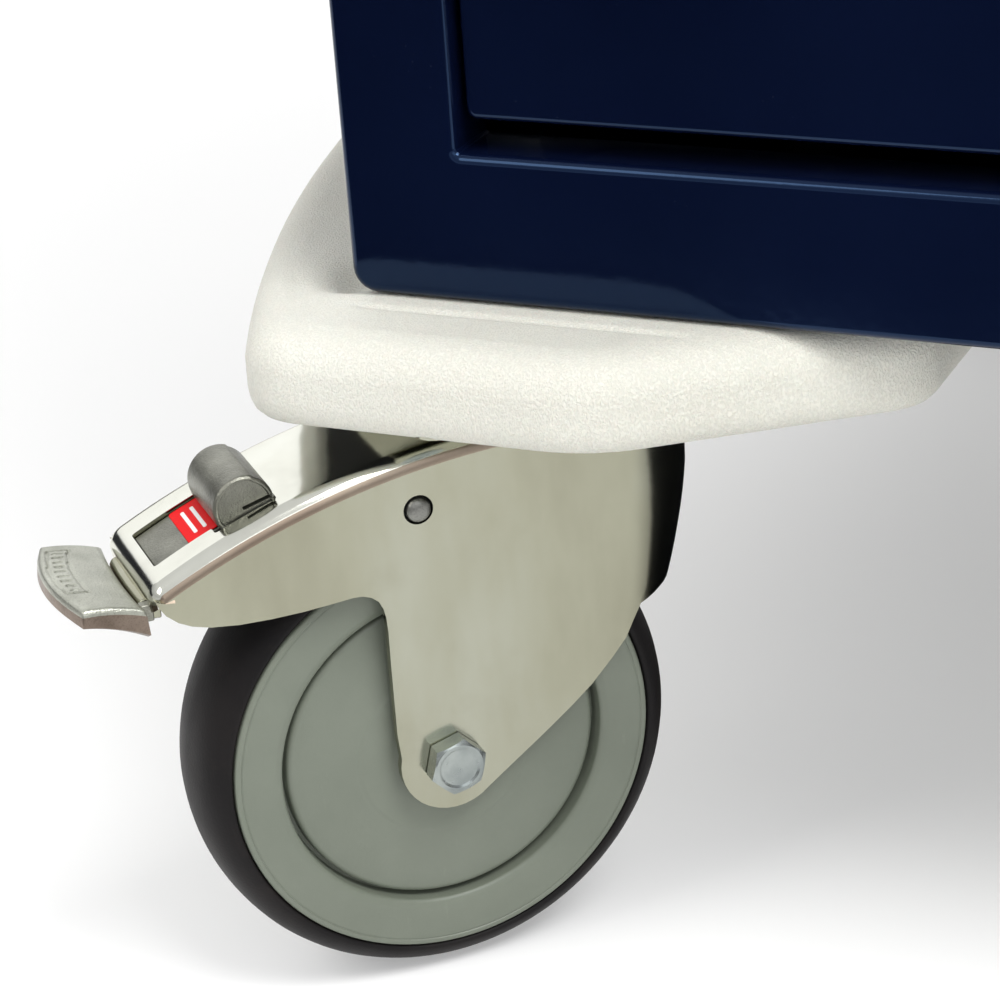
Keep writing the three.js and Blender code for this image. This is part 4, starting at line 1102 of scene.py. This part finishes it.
def iv_pole():
    (x0, y0, z0), (x1, y1, z1) = box_mm("iv_pole_tube")
    px, py = x0 + 12.5, y1 - 12.5
    refine("iv_pole_bracket", ZINC, 0.7)
    side_screws("iv_pole_screws", [(y, z0 + z) for z in (60, 250, 440) for y in (py - 18, py + 18)])
    bm = bmesh.new()
    lathe(bm, [(0, z0), (10, z0), (12.0, z0 + 1.2), (12.5, z0 + 3), (12.5, z1 - 46), (13.4, z1 - 45),
        (13.4, z1 - 1.2), (12.6, z1), (9.6, z1), (9.4, z1 - 1), (9.4, z0 + 62), (0, z0 + 61)], "Z",
        (px, py, 0), 64)
    lathe(bm, [(4.6, y0 + 0.2), (8.2, y0), (9, y0 + 0.8), (9, py - 6)], "Y", (px, 0, z1 - 22), 40)
    show("iv_pole_tube", bm, CHROME, angle=45)

    (rx0, ry0, rz0), (rx1, ry1, rz1) = box_mm("iv_pole_rod")
    cross = rz1 - 30  # the hooks' bar
    bm = bmesh.new()
    lathe(bm, [(0, rz0), (8.2, rz0), (9, rz0 + 1), (9, cross - 1), (8.4, cross + 2), (6.2, cross + 5),
        (5.6, cross + 7), (4.6, cross + 8.4), (0, cross + 9)], "Z", (px, py, 0), 48)
    for s in (-1, 1):
        tip = ry1 - 3.5 if s > 0 else ry0 + 3.5
        path = smooth_path([(px, py, cross), (px, tip, cross), (px, tip, rz1 - 3.5)], 14, 10)
        tube(bm, path, 3.5, 24)
        lathe(bm, [(0, -4.6), (2.6, -3.8), (4.2, -2.0), (4.6, 0.0), (4.2, 2.0), (2.6, 3.8), (0, 4.6)], "Z",
            (px, tip, rz1 - 4.6), 24)
    show("iv_pole_rod", bm, CHROME, angle=45)

    body = body_of("iv_pole_knob")
    (kx0, ky0, kz0), (kx1, ky1, kz1) = box_mm("iv_pole_knob")
    kz = (kz0 + kz1) / 2
    bm = bmesh.new()
    rows = []
    for y, r in ((ky0 + 19, 8.5), (ky0 + 18.6, 12.2), (ky0 + 16, 14.3), (ky0 + 8, 14.8), (ky0 + 3, 14.6),
            (ky0 + 1.0, 13.0), (ky0 + 0.2, 10.4), (ky0, 7.0)):
        ring = []
        for k in range(120):
            a = 2 * pi * k / 120
            lobe = 1 - 0.075 * (0.5 - 0.5 * cos(6 * a)) ** 0.8 * (1 if r > 10 else 0)
            ring.append((px + r * lobe * cos(a), y, kz + r * lobe * sin(a)))
        rows.append(ring)
    loft(bm, rows)
    show("iv_pole_knob", bm, BLACK)
    piece("iv_pole_knob_stem", made(lathe, [(0, ky0 + 17), (4, ky0 + 17), (4, ky1 - 0.5), (3.2, ky1),
        (0, ky1)], "Y", (px, 0, kz), 32), BOLT, body)


def cardiac_board():
    refine("board_bracket", ZINC, 0.6)
    (x0, y0, z0), (x1, y1, z1) = box_mm("cardiac_board")
    bm = bmesh.new()
    rounded(bm, (x0, y0, z0), (x1, y1, z1), 28, 1.8, axis=1, n=10)
    hole = bmesh.new()
    loft(hole, [[(x, y, z) for x, z in rect(-60, z1 - 62, 60, z1 - 32, 14.9, 10)] for y in (y0 - 5, y1 + 5)])
    show("cardiac_board", bm, WHITE, cuts=(tool(hole),), bevel=1.2, steps=3, angle=40)


def oxygen_bracket():
    (x0, y0, z0), (x1, y1, z1) = box_mm("oxygen_bracket")
    ox, oy = x0 + 64, (y0 + y1) / 2
    refine("oxygen_bracket", ZINC, 0.5, name="oxygen_bracket_plate")
    side_screws("oxygen_bracket_screws", [(y, z) for z in (z0 + 130, z0 + 250, z1 - 14)
        for y in (oy - 30, oy + 30)])
    # rolled edges on the ring and the cup, and a pad in the cup
    bm = bmesh.new()
    for low, high in ((z0, z0 + 70), (z1 - 60, z1 - 26)):
        for z in (low + 1.6, high - 1.6):
            pts, span = [], 0.06
            for k in range(97):
                a = span + 0.02 + (2 * pi - 2 * span - 0.04) * k / 96
                pts.append(Vector((ox + 61.6 * cos(a), oy + 61.6 * sin(a), z)))
            tube(bm, pts, 2.35, 12)
    piece("oxygen_bracket_beads", bm, ZINC)
    piece("oxygen_cup_pad", made(lathe, [(0, z0 + 4.0), (54, z0 + 4.0), (57.5, z0 + 4.3), (57.5, z0 + 5.8),
        (52, z0 + 6.6), (0, z0 + 6.2)], "Z", (ox, oy, 0), 80), BLACK)


def locks():
    (x0, y0, z0), (x1, y1, z1) = box_mm("lock_lever")
    body = body_of("lock_lever")
    refine("lock_lever", BLACK, 1.6, 3, 40)
    ly, lz = (y0 + y1) / 2, z1 - 12
    face = x1 - 3
    piece("lock_lever_cap", made(lathe, [(0, face - 1), (8, face - 1), (8, face + 1.4), (7.2, face + 2.4),
        (5, face + 2.8), (0, face + 2.8)], "X", (0, ly, lz), 48), CHROME, body, angle=40)
    piece("lock_lever_panel", made(rounded, (face - 1.4, ly - 5.5, z0 + 8), (face + 0.7, ly + 5.5, z0 + 40),
        4.5, 0.5, axis=0, n=6), RED, body)
    bm = bmesh.new()
    for k in range(5):
        rounded(bm, (face, ly - 4.4, z0 + 12 + k * 5), (face + 1.3, ly + 4.4, z0 + 14 + k * 5), 0.9, 0.4,
            axis=0, n=4)
    piece("lock_lever_ribs", bm, RED, body)
    refine("lock_bar", ZINC, 0.4)

    (kx0, ky0, kz0), (kx1, ky1, kz1) = box_mm("key_lock")
    kx, kz = (kx0 + kx1) / 2, (kz0 + kz1) / 2
    bm = bmesh.new()
    lathe(bm, [(0, ky1), (7.4, ky1), (8, ky1 - 1), (8, FRONT_Y), (11, FRONT_Y - 0.3), (11, FRONT_Y - 2.0),
        (10.2, FRONT_Y - 3.2), (8.8, FRONT_Y - 3.9), (8.4, FRONT_Y - 3.6), (8.2, FRONT_Y - 2.6),
        (7.6, FRONT_Y - 2.6), (7.4, FRONT_Y - 3.4), (6.6, FRONT_Y - 3.9), (0, FRONT_Y - 4)], "Y",
        (kx, 0, kz), 64)
    slit = bmesh.new()
    box(slit, (kx - 0.9, FRONT_Y - 6, kz - 4.6), (kx + 0.9, FRONT_Y + 2, kz + 4.2))
    show("key_lock", bm, CHROME, cuts=(tool(slit),), angle=40)


base_bumper(-1)
base_bumper(1)
refine("base_frame", ZINC, 0.8)
cabinet()
refine("slide_panel_left", TRAY, 0.25, 1, slot="zinc_plate")
refine("slide_panel_right", TRAY, 0.25, 1, slot="zinc_plate")
for n in range(1, 6):
    drawer(n)
work_top()
push_handle()
defib()
iv_pole()
cardiac_board()
oxygen_bracket()
locks()


# ------------------------------------------------------------------ camera, floor and light
def camera():
    data = bpy.data.cameras.new("camera")
    data.lens, data.sensor_width = 120.94, 36.0
    data.clip_start, data.clip_end = 0.05, 60
    psi, phi, rho = rad(25.67), rad(23.99), rad(4.31)
    head = Vector((-sin(psi), cos(psi), 0))
    level = Vector((cos(psi), sin(psi), 0))
    up = Vector((0, 0, 1))
    forward = head * cos(phi) - up * sin(phi)
    over = head * sin(phi) + up * cos(phi)
    right = level * cos(rho) - over * sin(rho)
    top = level * sin(rho) + over * cos(rho)
    obj = put("camera", data)
    obj.matrix_world = Matrix((right, top, -forward)).transposed().to_4x4()
    low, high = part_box("front_left_swivel_head")
    obj.location = Vector(((low.x + high.x) / 2 + 0.3203, (low.y + high.y) / 2 - 0.6951, 0.4575))
    bpy.context.scene.camera = obj


def area(name, location, aim, size, power, colour=(1, 1, 1), size_y=None):
    data = bpy.data.lights.new(name, "AREA")
    data.shape, data.size, data.size_y = "RECTANGLE", size, size_y or size
    data.energy, data.color = power, colour
    obj = put(name, data)
    obj.location = location
    obj.rotation_mode = "QUATERNION"
    obj.rotation_quaternion = (Vector(aim) - Vector(location)).to_track_quat("-Z", "Y")


def card(name, corners):
    """A dark card that only reflections see, for contrast in the bright metal and the gloss of the paint."""
    mesh = bpy.data.meshes.new(name)
    mesh.from_pydata([ORIGIN + Vector(p) for p in corners], [], [tuple(range(len(corners)))])
    k = Look(name + "_black", Roughness=1.0, Specular_IOR_Level=0.0)
    k.colour(k.tone(k.noise(3, 2), (0.010, 0.011, 0.014), (0.016, 0.017, 0.021)))
    mesh.materials.append(k.m)
    obj = put(name, mesh)
    obj.visible_camera = obj.visible_diffuse = obj.visible_shadow = obj.visible_transmission = False


def studio():
    bm = bmesh.new()
    bmesh.ops.create_circle(bm, cap_ends=True, segments=96, radius=30)
    floor = put("floor", to_mesh("floor", bm))
    k = Look("floor_pale", Roughness=0.75, Specular_IOR_Level=0.1, Emission_Color=(1, 1, 1, 1),
        Emission_Strength=0.3)
    k.colour(k.tone(k.noise(1.5, 3), (0.67, 0.67, 0.667), (0.685, 0.685, 0.682)))
    floor.data.materials.append(k.m)
    z = 0.003
    card("card_under", [(-0.41, -0.15, z), (0.31, -0.15, z), (0.31, 0.30, z), (-0.41, 0.30, z)])
    card("card_left", [(-1.9, -0.95, 0.01), (-1.9, 1.45, 0.01), (-1.9, 1.45, 0.51), (-1.9, -0.95, 0.51)])
    card("card_front", [(-2.2, -0.63, z), (-0.33, -0.622, z), (-0.20, -0.585, z), (2.2, -0.585, z),
        (2.2, -2.8, z), (-2.2, -2.8, z)])

    world = bpy.data.worlds.new("studio")
    bpy.context.scene.world = world
    world.use_nodes = True
    t = world.node_tree
    back = t.nodes["Background"]
    co = t.nodes.new("ShaderNodeTexCoord")
    sep = t.nodes.new("ShaderNodeSeparateXYZ")
    t.links.new(co.outputs["Generated"], sep.inputs[0])
    ramp = t.nodes.new("ShaderNodeValToRGB")
    stops = ((0.0, 0.82), (0.1, 0.80), (0.28, 0.60), (0.65, 0.92), (1.0, 0.96))
    while len(ramp.color_ramp.elements) < len(stops):
        ramp.color_ramp.elements.new(0.5)
    for e, (pos, value) in zip(ramp.color_ramp.elements, stops):
        e.position, e.color = pos, (value, value, value * 1.01, 1)
    t.links.new(sep.outputs["Z"], ramp.inputs["Fac"])
    t.links.new(ramp.outputs["Color"], back.inputs["Color"])
    back.inputs["Strength"].default_value = 0.92

    area("key", (-2.2, -2.8, 3.2), (-0.1, 0, 0.4), 1.8, 42, (1.0, 0.985, 0.95))
    area("fill", (2.6, -2.9, 2.0), (0.1, 0, 0.5), 2.2, 22, (0.95, 0.975, 1.0))
    area("top", (0.95, -0.75, 2.35), (-0.3, -0.25, 0.15), 1.3, 58)
    area("back", (-1.95, 1.45, 1.2), (-0.3, -0.2, 0.2), 2.7, 9, size_y=1.6)
    area("high", (-0.8, 1.3, 2.3), (-0.33, -0.28, 0.13), 1.4, 5)
    bpy.context.scene.view_settings.view_transform = "Standard"


camera()
studio()
